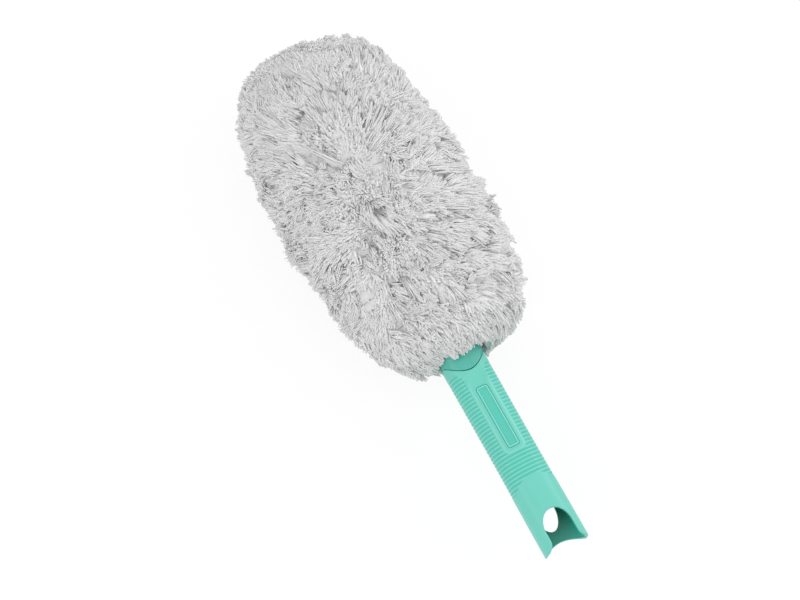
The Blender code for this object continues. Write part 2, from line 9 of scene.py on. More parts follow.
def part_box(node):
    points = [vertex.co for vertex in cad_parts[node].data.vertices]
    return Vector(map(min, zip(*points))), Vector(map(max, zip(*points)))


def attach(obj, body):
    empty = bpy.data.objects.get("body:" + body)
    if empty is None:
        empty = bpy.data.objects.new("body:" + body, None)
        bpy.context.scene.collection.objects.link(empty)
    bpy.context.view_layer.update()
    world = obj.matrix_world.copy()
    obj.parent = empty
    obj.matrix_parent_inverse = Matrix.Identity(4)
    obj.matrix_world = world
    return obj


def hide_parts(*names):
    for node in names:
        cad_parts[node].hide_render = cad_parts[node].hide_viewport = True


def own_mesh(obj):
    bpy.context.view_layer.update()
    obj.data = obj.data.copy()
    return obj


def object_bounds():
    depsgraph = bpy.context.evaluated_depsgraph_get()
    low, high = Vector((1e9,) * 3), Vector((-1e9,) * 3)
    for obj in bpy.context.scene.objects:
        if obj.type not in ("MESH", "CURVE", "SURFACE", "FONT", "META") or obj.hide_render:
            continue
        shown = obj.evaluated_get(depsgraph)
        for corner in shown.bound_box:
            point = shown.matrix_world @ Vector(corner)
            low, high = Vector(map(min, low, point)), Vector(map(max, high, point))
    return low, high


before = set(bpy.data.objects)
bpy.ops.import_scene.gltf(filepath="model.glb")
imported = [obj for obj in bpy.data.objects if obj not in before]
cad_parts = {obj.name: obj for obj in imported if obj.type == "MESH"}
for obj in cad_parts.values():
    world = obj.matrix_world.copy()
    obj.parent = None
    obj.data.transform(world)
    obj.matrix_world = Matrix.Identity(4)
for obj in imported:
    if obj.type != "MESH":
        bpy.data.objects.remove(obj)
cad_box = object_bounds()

# Camera. A long lens looks down on the duster from above its tail, so that the handle runs from the
# middle of the picture to its lower right.
grip_low, grip_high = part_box("grip")
AXIS_Z = (grip_low.z + grip_high.z) / 2
VIEW_TILT = math.radians(14.5)  # from straight above towards the tail
VIEW_ROLL = math.radians(12.5)  # about the handle
VIEW_TURN = math.radians(60.6)  # the handle below the picture's horizontal
VIEW_DISTANCE = 2.4
METRES_PER_PIXEL = 0.000689
PICTURE_WIDTH = 800
AXIS_RIGHT_OF_MIDDLE = 23.8  # the handle's middle in the picture, in pixels
AXIS_ABOVE_MIDDLE = 6.4

across_tilt = Vector((0.0, -math.sin(VIEW_ROLL), math.cos(VIEW_ROLL)))
to_camera = Vector((math.sin(VIEW_TILT), 0.0, 0.0)) + math.cos(VIEW_TILT) * across_tilt
along_handle = Vector((math.cos(VIEW_TILT), 0.0, 0.0)) - math.sin(VIEW_TILT) * across_tilt
across_handle = Vector((0.0, math.cos(VIEW_ROLL), math.sin(VIEW_ROLL)))
picture_right = math.cos(VIEW_TURN) * along_handle + math.sin(VIEW_TURN) * across_handle
picture_up = math.cos(VIEW_TURN) * across_handle - math.sin(VIEW_TURN) * along_handle

off_middle = AXIS_RIGHT_OF_MIDDLE * picture_right + AXIS_ABOVE_MIDDLE * picture_up
target = Vector((0.0, 0.0, AXIS_Z)) - METRES_PER_PIXEL * off_middle
camera_data = bpy.data.cameras.new("camera")
camera_data.sensor_width = 36.0
camera_data.lens = camera_data.sensor_width * VIEW_DISTANCE / (METRES_PER_PIXEL * PICTURE_WIDTH)
camera_data.clip_start = 0.1
camera_data.clip_end = 20.0
camera = bpy.data.objects.new("camera", camera_data)
turn = Matrix((picture_right, picture_up, to_camera)).transposed().to_4x4()
camera.matrix_world = Matrix.Translation(target + VIEW_DISTANCE * to_camera) @ turn
bpy.context.scene.collection.objects.link(camera)
bpy.context.scene.camera = camera
bpy.context.scene.view_settings.view_transform = "Standard"

# Studio: soft light from a white room, a long strip lamp on either side of the handle, and a white
# floor that shows as pure white to the camera but still takes the duster's shadow.
ROOM_LIGHT = 0.81
FLOOR_GLOW = 0.86
FLOOR_SHADOW = 0.16


def set_sockets(tree, node, **sockets):
    """Input sockets set to values, or linked to other outputs.

    A socket goes by its name, with _ for a space, or by its number after a _.
    """
    for name, value in sockets.items():
        socket = node.inputs[int(name[1:])] if name[1:].isdigit() else node.inputs[name.replace("_", " ")]
        if isinstance(value, bpy.types.NodeSocket):
            tree.links.new(value, socket)
        else:
            socket.default_value = value


def new_node(tree, kind, settings=None, **sockets):
    """Shader node of a kind, with its settings and its sockets."""
    node = tree.nodes.new("ShaderNode" + kind)
    for name, value in (settings or {}).items():
        setattr(node, name, value)
    set_sockets(tree, node, **sockets)
    return node


def output_of(tree, kind, output, settings=None, **sockets):
    """One output of a new shader node."""
    return new_node(tree, kind, settings, **sockets).outputs[output]


def maths(tree, operation, *values):
    """Output of a Math node, its sockets filled in order."""
    sockets = {f"_{place}": value for place, value in enumerate(values)}
    return output_of(tree, "Math", "Value", {"operation": operation}, **sockets)


def seen_directly(tree):
    """1 for what the camera sees, straight on, mirrored or through glass, and 0 for other light."""
    rays = new_node(tree, "LightPath").outputs
    mirrored = maths(tree, "MAXIMUM", rays["Is Camera Ray"], rays["Is Glossy Ray"])
    return maths(tree, "MAXIMUM", mirrored, rays["Is Transmission Ray"])


WHITE = (1.0, 1.0, 1.0, 1.0)
world = bpy.data.worlds.new("white_room")
world.use_nodes = True
bpy.context.scene.world = world
room = world.node_tree
room.nodes.clear()
room_mix = output_of(room, "MixShader", "Shader", Fac=seen_directly(room),
                     _1=output_of(room, "Background", "Background", Color=WHITE, Strength=ROOM_LIGHT),
                     _2=output_of(room, "Background", "Background", Color=WHITE, Strength=1.0))
new_node(room, "OutputWorld", Surface=room_mix)


def add_lamp(name, place, length, width, watts):
    """Area lamp at a place, its length along the handle, aimed at the middle of the duster."""
    lamp = bpy.data.lights.new(name, "AREA")
    lamp.shape = "RECTANGLE"
    lamp.size = length
    lamp.size_y = width
    lamp.energy = watts
    lamp_object = bpy.data.objects.new(name, lamp)
    back = (Vector(place) - Vector((0.0, 0.0, AXIS_Z))).normalized()
    along = (Vector((1.0, 0.0, 0.0)) - back * back.x).normalized()
    turn = Matrix((along, back.cross(along), back)).transposed().to_4x4()
    lamp_object.matrix_world = Matrix.Translation(place) @ turn
    bpy.context.scene.collection.objects.link(lamp_object)


add_lamp("right_strip", (0.15, 1.15, 0.80), 1.4, 0.44, 4.4)
add_lamp("left_strip", (0.15, -0.95, 0.95), 1.4, 0.26, 2.8)

floor_mesh = bpy.data.meshes.new("floor")
floor_mesh.from_pydata([(-4, -4, 0), (4, -4, 0), (4, 4, 0), (-4, 4, 0)], [], [(0, 1, 2, 3)])
floor = bpy.data.objects.new("floor", floor_mesh)
bpy.context.scene.collection.objects.link(floor)

paper = bpy.data.materials.new("white_floor")
paper.use_nodes = True
tree = paper.node_tree
tree.nodes.clear()
paper_diffuse = output_of(tree, "BsdfDiffuse", "BSDF", Color=(0.82, 0.82, 0.82, 1.0))
paper_shadow = output_of(tree, "BsdfDiffuse", "BSDF", Color=(FLOOR_SHADOW, FLOOR_SHADOW, FLOOR_SHADOW, 1.0))
paper_light = output_of(tree, "Emission", "Emission", Strength=FLOOR_GLOW)
paper_sum = output_of(tree, "AddShader", "Shader", _0=paper_shadow, _1=paper_light)
paper_mix = output_of(tree, "MixShader", "Shader", Fac=seen_directly(tree), _1=paper_diffuse, _2=paper_sum)
new_node(tree, "OutputMaterial", Surface=paper_mix)
floor_mesh.materials.append(paper)

# Grip. One hollow moulding in mint green plastic: a rounded rectangular tube with a web inside, a
# curved seam in front, finger ribs down both sides and across the back, a name plaque's bare frame, an
# arched opening in the tail's top wall, an arch and a hang hole in its bottom wall.
GRIP_X = grip_low.x
TAIL_X = grip_high.x
GRIP_HALF = np.array([0.0160, 0.0130])
TAIL_HALF = np.array([(grip_high.y - grip_low.y) / 2, (grip_high.z - grip_low.z) / 2])
GRIP_POWER = 2.4
GRIP_WALL = 0.0022
FLARE = (GRIP_X + 0.062, GRIP_X + 0.140)
SEAM_DEPTH = 0.0105
SEAM_FADE = 0.023  # behind this the rings of the mesh stand square to the handle again
SOCKET_END = GRIP_X + 0.0505
WEB_END = SOCKET_END + 0.0025
RIM = 0.0005  # rounding along every cut edge
RIM_ANGLES = np.radians([30.0, 60.0, 90.0])

button_low, button_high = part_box("snap_button")
BUTTON_X = (button_low.x + button_high.x) / 2
BUTTON_HOLE = 0.0050
HANG_HOLE = (TAIL_X - 0.0305, 0.01515, 0.0080)  # middle along X, half length, half width
TOP_ARCH_X = TAIL_X - 0.0265
TOP_ARCH_NOSE = 0.0128
TOP_ARCH_HALF = 0.01005
TOP_ARCH_FLARE = 0.0070
UNDER_ARCH_X = TAIL_X - 0.0066
TIP_LAND = 0.0010


def smooth_step(value, start, end):
    """0 before start and 1 after end, with a 3t^2 - 2t^3 ramp between."""
    share = np.clip((value - start) / (end - start), 0.0, 1.0)
    return share * share * (3 - 2 * share)


OVAL_STEPS = 2000


def oval_table(half, power, start=0.0, end=2 * np.pi):
    """Table of an oval from one angle to another: share of the way, y and z over half size, length.

    The oval is a superellipse: (cos, sin) of the angle, each raised to 2/power with its sign kept.
    """
    angle = np.linspace(start, end, OVAL_STEPS)
    y, z = (np.sign(side) * np.abs(side) ** (2 / power) for side in (np.cos(angle), np.sin(angle)))
    run = np.cumsum(np.hypot(np.diff(y * half[0]), np.diff(z * half[1])))
    run = np.concatenate([[0.0], run])
    return run / run[-1], y, z, run[-1]


def oval_at(table, share):
    """y and z over half size at a share of the way along an oval's table."""
    return np.interp(share, table[0], table[1]), np.interp(share, table[0], table[2])


def oval_normal(y, z, half_y, half_z, power):
    """Outward normal of an oval in its own plane: sign(y) (|y|/w)^(p-1) / w, the same for z, made unit."""
    out_y = np.sign(y) * (np.abs(y) / half_y) ** (power - 1) / half_y
    out_z = np.sign(z) * (np.abs(z) / half_z) ** (power - 1) / half_z
    size = np.hypot(out_y, out_z)
    return out_y / size, out_z / size


def unit(vectors):
    """Rows of vectors, each made one long."""
    return vectors / np.linalg.norm(vectors, axis=1, keepdims=True)


def new_piece(name, points, *faces):
    """Mesh object from an (n, 3) array of points and arrays of faces, one array for each face size."""
    mesh = bpy.data.meshes.new(name)
    mesh.vertices.add(len(points))
    mesh.vertices.foreach_set("co", np.ascontiguousarray(points, np.float32).ravel())
    corners = np.concatenate([f.ravel() for f in faces])
    sizes = np.concatenate([np.full(len(f), f.shape[1]) for f in faces])
    mesh.loops.add(len(corners))
    mesh.loops.foreach_set("vertex_index", corners.astype(np.int32))
    mesh.polygons.add(len(sizes))
    starts = np.concatenate([[0], np.cumsum(sizes)[:-1]])
    mesh.polygons.foreach_set("loop_start", starts.astype(np.int32))
    mesh.update(calc_edges=True)
    mesh.validate()
    mesh.shade_smooth()
    piece = bpy.data.objects.new(name, mesh)
    bpy.context.scene.collection.objects.link(piece)
    return piece


def face_outwards(piece, sharp=40.0):
    """Drop unused points, turn every face outwards, and crease the edges sharper than an angle."""
    bm = bmesh.new()
    bm.from_mesh(piece.data)
    bmesh.ops.delete(bm, geom=[v for v in bm.verts if not v.link_faces], context="VERTS")
    bmesh.ops.recalc_face_normals(bm, faces=bm.faces)
    bm.to_mesh(piece.data)
    bm.free()
    piece.data.set_sharp_from_angle(angle=math.radians(sharp))


def even_steps(start, end, count):
    """Places from start up to but not including end."""
    return start + (end - start) * np.arange(count) / count


def rounded_steps(start, end, count):
    """Places crowded towards start: 1 - cos of a quarter turn."""
    return start + (end - start) * (1 - np.cos(np.pi / 2 * np.arange(count) / count))


def round_ended_steps(start, end, count):
    """Places crowded towards both ends: half of 1 - cos of a half turn."""
    return start + (end - start) * (1 - np.cos(np.pi * np.arange(count) / count)) / 2


RIB_START = GRIP_X + 0.0092
RIB_PITCH = 0.00276
RINGS_A_RIB = 10
button_start, button_end = BUTTON_X - BUTTON_HOLE - RIM, BUTTON_X + BUTTON_HOLE + RIM
hang_start, hang_end = HANG_HOLE[0] - HANG_HOLE[1] - RIM, HANG_HOLE[0] + HANG_HOLE[1] + RIM
# Rings along the handle: even where the walls run on, crowded where an opening starts or ends.
stretches = [
    even_steps(GRIP_X + RIM, button_start, 80),
    round_ended_steps(button_start, button_end, 52),
    even_steps(button_end, hang_start, 243),
    rounded_steps(hang_start, TOP_ARCH_X - RIM, 44),
    round_ended_steps(TOP_ARCH_X - RIM, hang_end, 22),
    even_steps(hang_end, UNDER_ARCH_X - RIM, 12),
    rounded_steps(UNDER_ARCH_X - RIM, TAIL_X - RIM, 24),
    [TAIL_X - RIM],
]
ring_x = np.concatenate(stretches)
# The first ring of each stretch, where an opening starts or ends.
BUTTON_RING, BUTTON_END, HANG_RING, ARCH_RING, HANG_END, UNDER_RING = np.cumsum(
    [len(stretch) for stretch in stretches])[:6]
# Clear of the openings the rings keep step with the ribs.
in_step = (ring_x > RIB_START) & (ring_x < hang_start - RIM)
in_step[BUTTON_RING:BUTTON_END + 1] = False
ribs_along = np.round((ring_x[in_step] - RIB_START) / RIB_PITCH * RINGS_A_RIB) / RINGS_A_RIB
ring_x[in_step] = RIB_START + ribs_along * RIB_PITCH

side_oval = oval_table(GRIP_HALF, GRIP_POWER, np.pi / 2, -np.pi / 2)
GRIP_SIDE = side_oval[3]  # way round the skin from top centre to bottom centre
# Bands of columns round the side: from, to, and how many. They are closest over the plaque's frame.
COLUMN_BANDS = ((0.0, 0.0058, 23), (0.0058, 0.0110, 12), (0.0110, 0.0400, 25), (0.0400, GRIP_SIDE, 9))
column_share = [np.linspace(start, end, count + 1)[:-1] for start, end, count in COLUMN_BANDS]
column_share = np.concatenate(column_share + [[GRIP_SIDE]]) / GRIP_SIDE


def grip_half(x):
    """Half width and half height at x: even in front, flared to the tail with a smooth step."""
    return GRIP_HALF + (TAIL_HALF - GRIP_HALF) * smooth_step(x, *FLARE)[..., None]


def round_opening(x, middle, half_length, half_width):
    """Half width of an elliptical hole at x, 0 outside it, drawn back by the rim."""
    reach = 1 - ((x - middle) / (half_length + RIM)) ** 2
    return (half_width + RIM) * np.sqrt(np.clip(reach, 0.0, None))


def top_opening(x):
    """Half width of the top arch: a quarter ellipse for the nose, then a quarter-ellipse flare."""
    nose = np.clip((TOP_ARCH_X + TOP_ARCH_NOSE - x) / (TOP_ARCH_NOSE + RIM), -1.0, 1.0)
    width = (TOP_ARCH_HALF + RIM) * np.sqrt(1 - np.clip(nose, 0.0, 1.0) ** 2)
    flare = np.clip((x - TAIL_X + TOP_ARCH_FLARE) / TOP_ARCH_FLARE, 0.0, 1.0)
    spread = TAIL_HALF[0] - TIP_LAND - TOP_ARCH_HALF
    return width + spread * (1 - np.sqrt(1 - flare ** 2)) * (width > 0)


def bottom_opening(x):
    """Half width of whichever opening the bottom wall has at x: button hole, hang hole or arch."""
    button = round_opening(x, BUTTON_X, BUTTON_HOLE, BUTTON_HOLE)
    hang = round_opening(x, *HANG_HOLE)
    under = np.clip((x - UNDER_ARCH_X + RIM) / (TAIL_X - UNDER_ARCH_X), 0.0, 1.0)
    return np.maximum.reduce([button, hang, (TAIL_HALF[0] - TIP_LAND) * np.sqrt(under)])


def side_grid(x, half):
    """Right-hand half of the tube as a grid, ring by ring from top centre to bottom centre.

    A column keeps its share of the way down the side. Where a wall is open, the columns close up
    between the edges of the opening.
    """
    upper_share, upper_y = (values[:OVAL_STEPS // 2] for values in side_oval[:2])
    top = np.interp(top_opening(x) / half[:, 0], upper_y, upper_share)
    bottom = np.interp(bottom_opening(x) / half[:, 0], upper_y, upper_share)
    share = top[:, None] + (1 - top - bottom)[:, None] * column_share
    y, z = oval_at(side_oval, share)
    y, z = y * half[:, :1], z * half[:, 1:]
    seam = SEAM_DEPTH * (1 - (y / GRIP_HALF[0]) ** 2).clip(0.0, 1.0)
    fade = 1 - smooth_step(x, GRIP_X + RIM, GRIP_X + SEAM_FADE)
    return x[:, None] + seam * fade[:, None], y, z, share * GRIP_SIDE


RIB_DEPTH = 0.00048
RIB_RISE = 0.92  # how much of that depth a rib's top wins back
RIB_HIGHLIGHT_LINE = 0.00030  # half width of the line along each rib's top that is painted lighter as a highlight, and polished
PANEL_SLOPE = (-0.00015, 0.00030)  # from outside to inside a ribbed panel's edge
PANEL_EDGE = 0.0086
PANEL_CORNER = 0.0065
PAD_EDGE = 0.0073
PAD_HEIGHT = 0.00016
PAD_END = GRIP_X + 0.0750
PAD_CORNER = 0.0035
PAD_SLOPE = (-0.0003, 0.0005)
PAD_HIGHLIGHT_LINE = (0.10, 0.0006)  # how much brighter the pad's edge is painted, as a highlight, and how wide
TAIL_ARCH_X = GRIP_X + 0.0943
TAIL_ARCH_DROP = 0.0073
PLAQUE = (GRIP_X + 0.0239, GRIP_X + 0.0721, 0.0047, 0.0020)  # start, end, half width, corner
PLAQUE_GROOVE = 0.00060
PLAQUE_RIM = 0.00090
PLAQUE_DEPTH = 0.00055
# The plaque's raised rim is painted lighter, as a highlight.
PLAQUE_RIM_HIGHLIGHT_TONE = 0.95
THUMB_X = GRIP_X + 0.0185
THUMB_REACH = 0.0105
THUMB_HALF = 0.0082
THUMB_SLOPE = (-0.0055, 0.0005)  # about its half width
THUMB_DEPTH = 0.00150


def box_distance(along, aside, corner):
    """Distance outside a rounded corner, negative inside: length of the positive parts less the radius."""
    outside = np.hypot(np.maximum(along, 0), np.maximum(aside, 0))
    return outside + np.minimum(np.maximum(along, aside), 0) - corner


def ribbed_area(x, aside):
    """Signed distance into the ribbed panels, seen as (x, way round from the top centre)."""
    panel = box_distance(RIB_START + PANEL_CORNER - x, PANEL_EDGE + PANEL_CORNER - aside, PANEL_CORNER)
    pad = box_distance(x - PAD_END + PAD_CORNER, aside - PANEL_EDGE + PAD_CORNER, PAD_CORNER)
    tail = x - TAIL_ARCH_X - TAIL_ARCH_DROP * np.minimum(aside / GRIP_HALF[0], 1) ** 2
    front_or_pad = np.where(x < PAD_END - PAD_CORNER, panel, -pad)
    return -np.maximum(front_or_pad, tail)


# Tones of the mint plastic, which paint light and shade into its colour: 0 for painted shade in the dark
# inside, 0.25 and 0.5 for painted shade in grooves and sunk bands, 0.75 for the plain mint, and 1 for a
# painted highlight on rib tops and edges.
HOLLOW_SHADE_TONE, GROOVE_SHADE_TONE, BAND_SHADE_TONE, SKIN_TONE, EDGE_HIGHLIGHT_TONE = 0.0, 0.25, 0.5, 0.75, 1.0


def skin_relief(x, z, aside):
    """How far the skin is sunk, and its tone.

    Each rib is a round-topped wave, |cos| of its phase; the ribbed panels are painted darker as shade, with
    a painted highlight line, polished too, along each rib's top. The pad's edge has a painted highlight.
    The plaque has a thin groove painted darker as shade, a raised rim painted lighter as a highlight, and a
    sunk field painted darker as shade. The thumb rest is a shallow dish.
    """
    beneath = z < 0
    from_bottom = GRIP_SIDE - aside
    reach = np.where(beneath, np.minimum(ribbed_area(x, aside), from_bottom - PANEL_EDGE),
                     ribbed_area(x, aside))
    inside = smooth_step(reach, *PANEL_SLOPE)
    phase = (x - RIB_START) / RIB_PITCH
    depth = RIB_DEPTH * inside * (1 - np.abs(np.cos(np.pi * phase)) * RIB_RISE)
    from_line = (np.abs(np.mod(phase + 0.5, 1.0) - 0.5) * RIB_PITCH / RIB_HIGHLIGHT_LINE) ** 2
    # Painted shade over the ribbed panels, and a painted highlight along each rib's top.
    tone = SKIN_TONE + inside * (BAND_SHADE_TONE - SKIN_TONE + (EDGE_HIGHLIGHT_TONE - BAND_SHADE_TONE) * np.exp(-from_line))

    pad = box_distance(x - PAD_END + PAD_CORNER, aside - PAD_EDGE + PAD_CORNER, PAD_CORNER)
    lip = smooth_step(x, THUMB_X, THUMB_X + 0.006) * (1 - inside) * ~beneath
    lip *= 1 - smooth_step(x, PAD_END + 0.0005, PAD_END + 0.0015)
    depth += PAD_HEIGHT * smooth_step(pad, *PAD_SLOPE) * lip
    # A painted highlight along the pad's edge.
    tone += PAD_HIGHLIGHT_LINE[0] * np.exp(-((pad / PAD_HIGHLIGHT_LINE[1]) ** 2)) * lip

    middle, half_length = (PLAQUE[0] + PLAQUE[1]) / 2, (PLAQUE[1] - PLAQUE[0]) / 2
    frame_edge = box_distance(np.abs(x - middle) - half_length + PLAQUE[3],
                              aside - PLAQUE[2] + PLAQUE[3], PLAQUE[3])
    groove = np.exp(-(((frame_edge + PLAQUE_GROOVE / 2) / (PLAQUE_GROOVE * 0.55)) ** 2)) * ~beneath
    rim = smooth_step(-frame_edge, PLAQUE_GROOVE, PLAQUE_GROOVE + 0.0002) * ~beneath
    field_edge = PLAQUE_GROOVE + PLAQUE_RIM
    field = smooth_step(-frame_edge, field_edge - 0.0001, field_edge + 0.0002) * ~beneath
    depth += PLAQUE_DEPTH * np.maximum(groove, field)
    # Painted light and shade: the rim lighter, the sunk field and the groove darker.
    tone += (PLAQUE_RIM_HIGHLIGHT_TONE - tone) * rim
    tone += (BAND_SHADE_TONE - tone) * field
    tone += (GROOVE_SHADE_TONE - tone) * groove

    dish = np.clip(1 - ((x - THUMB_X) / THUMB_REACH) ** 2, 0, None) ** 1.5
    dish *= 1 - smooth_step(aside, THUMB_HALF + THUMB_SLOPE[0], THUMB_HALF + THUMB_SLOPE[1])
    return depth + THUMB_DEPTH * dish * ~beneath, tone


def two_sides(x, y, z):
    """Points of both halves, the mirrored left half after the right one."""
    right = np.stack([x, y, z + AXIS_Z], axis=-1).reshape(-1, 3)
    return np.concatenate([right, right * (1, -1, 1)])


def side_numbers(rings, columns, first, shut_top, shut_bottom):
    """Point numbers of the right and left grids, sharing the centre lines where the wall is shut."""
    right = first + np.arange(rings * columns).reshape(rings, columns)
    left = right + rings * columns
    left[shut_top, 0] = right[shut_top, 0]
    left[shut_bottom, -1] = right[shut_bottom, -1]
    return right, left


def grid_quads(numbers):
    """Quads between neighbouring rows and columns of a grid of point numbers."""
    return np.stack([numbers[:-1, :-1], numbers[:-1, 1:], numbers[1:, 1:], numbers[1:, :-1]],
                    axis=-1).reshape(-1, 4)


def loop_quads(rows):
    """Quads between rows of point numbers that each close on themselves."""
    return grid_quads(np.concatenate([rows, rows[:, :1]], axis=1))


def rounded_rim(points, outer, inner, first):
    """Rounded edge round a cut in a wall, from the outer loop of points to the inner one.

    Each station carries a profile: a quarter circle, the flat of the wall and a quarter circle, set
    square to the loop's own direction and to the wall.
    """
    start, end = points[outer], points[inner]
    through = unit(end - start)
    run = np.roll(start, -1, axis=0) - np.roll(start, 1, axis=0)
    out = unit(np.cross(run, through))
    profile = [(RIM * np.sin(a), RIM * (1 - np.cos(a))) for a in RIM_ANGLES]
    layers = [start + out * e + through * d for e, d in profile]
    layers += [end + out * e - through * d for e, d in profile[::-1]]
    numbers = first + np.arange(len(layers) * len(outer)).reshape(len(layers), -1)
    rows = np.concatenate([outer[None], numbers, inner[None]])
    return np.concatenate(layers), loop_quads(rows)


ring_count, column_count = len(ring_x), len(column_share)
skin_half = grip_half(ring_x)
skin = side_grid(ring_x, skin_half)
normal_y, normal_z = oval_normal(skin[1], skin[2], skin_half[:, :1], skin_half[:, 1:], GRIP_POWER)
sunk, skin_tone = skin_relief(skin[0], skin[2], skin[3])
grip_points = [two_sides(skin[0], skin[1] - normal_y * sunk, skin[2] - normal_z * sunk)]
grip_tones = [np.tile(skin_tone.ravel(), 2)]

TINY = 1e-7
shut_top = top_opening(ring_x) < TINY
shut_bottom = bottom_opening(ring_x) < TINY
outer = side_numbers(ring_count, column_count, 0, shut_top, shut_bottom)
grip_quads = [grid_quads(side) for side in outer]

# The inside has fewer rings where no opening needs them. It is painted dark as shade, with painted daylight
# a little way in at the tail.
SOCKET_EVERY, CAVITY_EVERY = 12, 24
WEB_MARGIN = 0.001  # no ring of the inside is nearer than this to the web
PAINTED_DAYLIGHT = (0.030, 0.004)  # from the tail's end, where it fades out and where it is full
number = np.arange(ring_count)
near_button = (number >= BUTTON_RING) & (number <= BUTTON_END)
socket_rings = number[(ring_x < SOCKET_END - WEB_MARGIN) & (near_button | (number % SOCKET_EVERY == 0))]
cavity_rings = number[(ring_x > WEB_END + WEB_MARGIN)
                      & ((number >= HANG_RING) | (number % CAVITY_EVERY == 0))]
inner_numbers = {}
for rings, floor_at, floor_x in ((socket_rings, len(socket_rings), SOCKET_END),
                                 (cavity_rings, 0, WEB_END)):
    first = sum(len(p) for p in grip_points)
    x = np.insert(ring_x[rings], floor_at, floor_x)
    order = np.insert(rings, floor_at, -1)
    inside = side_grid(x, grip_half(x) - GRIP_WALL)
    grip_points.append(two_sides(*inside[:3]))
    painted_daylight = GROOVE_SHADE_TONE * smooth_step(inside[0], TAIL_X - PAINTED_DAYLIGHT[0], TAIL_X - PAINTED_DAYLIGHT[1])
    grip_tones.append(np.tile((HOLLOW_SHADE_TONE + painted_daylight).ravel(), 2))
    shut = [np.append(s, True)[order] for s in (shut_top, shut_bottom)]
    right, left = side_numbers(len(x), column_count, first, *shut)
    grip_quads += [grid_quads(right), grid_quads(left)]
    inner_numbers[floor_x] = {ring: (right[i], left[i]) for i, ring in enumerate(order)}

# The web closes the tube between socket and tail, as a fan on each face.
grip_fans = []
for floor_x in (SOCKET_END, WEB_END):
    right, left = inner_numbers[floor_x][-1]
    edge = np.concatenate([right, left[-2:0:-1]])
    middle = sum(len(p) for p in grip_points)
    grip_points.append(np.array([[floor_x, 0.0, AXIS_Z]]))
    grip_tones.append(np.array([HOLLOW_SHADE_TONE]))
    grip_fans.append(np.stack([edge, np.roll(edge, -1), np.full(len(edge), middle)], axis=1))


def edge_loop(right, left, top_start, bottom_start):
    """Closed loop of points round the tail's edge, up the left of the top arch and down its right."""
    last = len(right) - 1
    return np.concatenate([
        right[top_start:last, 0], right[last], right[last - 1:bottom_start - 1:-1, -1],
        left[bottom_start + 1:last, -1], left[last, ::-1], left[last - 1:top_start:-1, 0],
    ])[::-1]


def hole_loop(right, left, first_ring, last_ring):
    """Closed loop of points round a hole in the bottom wall, down its right edge and up its left."""
    return np.concatenate([right[first_ring:last_ring + 1, -1], left[last_ring - 1:first_ring:-1, -1]])


def inner_grids(floor_x):
    """Point numbers of an inside surface laid out ring by ring like the skin's, -1 where it has none."""
    right = np.full((ring_count, column_count), -1)
    left = right.copy()
    for ring, (right_row, left_row) in inner_numbers[floor_x].items():
        if ring >= 0:
            right[ring], left[ring] = right_row, left_row
    return right, left


cavity = inner_grids(WEB_END)
socket = inner_grids(SOCKET_END)
cuts = [
    [edge_loop(*sides, ARCH_RING, UNDER_RING) for sides in (outer, cavity)],
    [hole_loop(*sides, HANG_RING, HANG_END) for sides in (outer, cavity)],
    [hole_loop(*sides, BUTTON_RING, BUTTON_END) for sides in (outer, socket)],
    [np.concatenate([right[0], left[0, -2:0:-1]]) for right, left in (outer, socket)],
]
for outer_loop, inner_loop in cuts:
    all_points = np.concatenate(grip_points)
    rim_points, rim_quads = rounded_rim(all_points, outer_loop, inner_loop, len(all_points))
    grip_points.append(rim_points)
    # Each rim is painted from the skin's tone into the grooves' painted shade towards the inside.
    grip_tones.append(np.repeat(np.linspace(SKIN_TONE, GROOVE_SHADE_TONE, 2 * len(RIM_ANGLES)), len(outer_loop)))
    grip_quads.append(rim_quads)


def add_value(piece, name, values):
    """One number for each point of a piece, for its material to read."""
    layer = piece.data.attributes.new(name, "FLOAT", "POINT")
    layer.data.foreach_set("value", np.ascontiguousarray(values, np.float32))


grip_points = np.concatenate(grip_points)
grip = new_piece("moulded_grip", grip_points, np.concatenate(grip_quads), np.concatenate(grip_fans))
add_value(grip, "tone", np.concatenate(grip_tones))
face_outwards(grip)


def new_group(name, inputs, outputs):
    """Empty shader node group: inputs as {name: value}, outputs as {name: kind}.

    A number makes a float input, and four numbers make a colour. What comes back is the group, the
    values it is given, and the node that puts its results out.
    """
    group = bpy.data.node_groups.new(name, "ShaderNodeTree")
    for socket, value in inputs.items():
        kind = "NodeSocketFloat" if isinstance(value, float) else "NodeSocketColor"
        made = group.interface.new_socket(name=socket, in_out="INPUT", socket_type=kind)
        made.default_value = value
    for socket, kind in outputs.items():
        group.interface.new_socket(name=socket, in_out="OUTPUT", socket_type="NodeSocket" + kind)
    return group, group.nodes.new("NodeGroupInput").outputs, group.nodes.new("NodeGroupOutput")


def noise(tree, scale, detail):
    """Fine noise over a piece's own coordinates."""
    where = output_of(tree, "TexCoord", "Object")
    return output_of(tree, "TexNoise", "Fac", Vector=where, Scale=scale, Detail=detail)


def new_material(name):
    """Material with only a Principled shader and its output."""
    material = bpy.data.materials.new(name)
    material.use_nodes = True
    return material, material.node_tree, material.node_tree.nodes["Principled BSDF"]


MINT = (0.165, 0.651, 0.539, 1.0)
# Colours of the tones: painted shade, the plain mint, and a painted highlight.
MINT_TONES = {
    HOLLOW_SHADE_TONE: (0.006, 0.175, 0.115, 1.0),
    GROOVE_SHADE_TONE: (0.045, 0.420, 0.325, 1.0),
    BAND_SHADE_TONE: (0.095, 0.590, 0.478, 1.0),
    SKIN_TONE: MINT,
    EDGE_HIGHLIGHT_TONE: (0.340, 0.790, 0.700, 1.0),
}

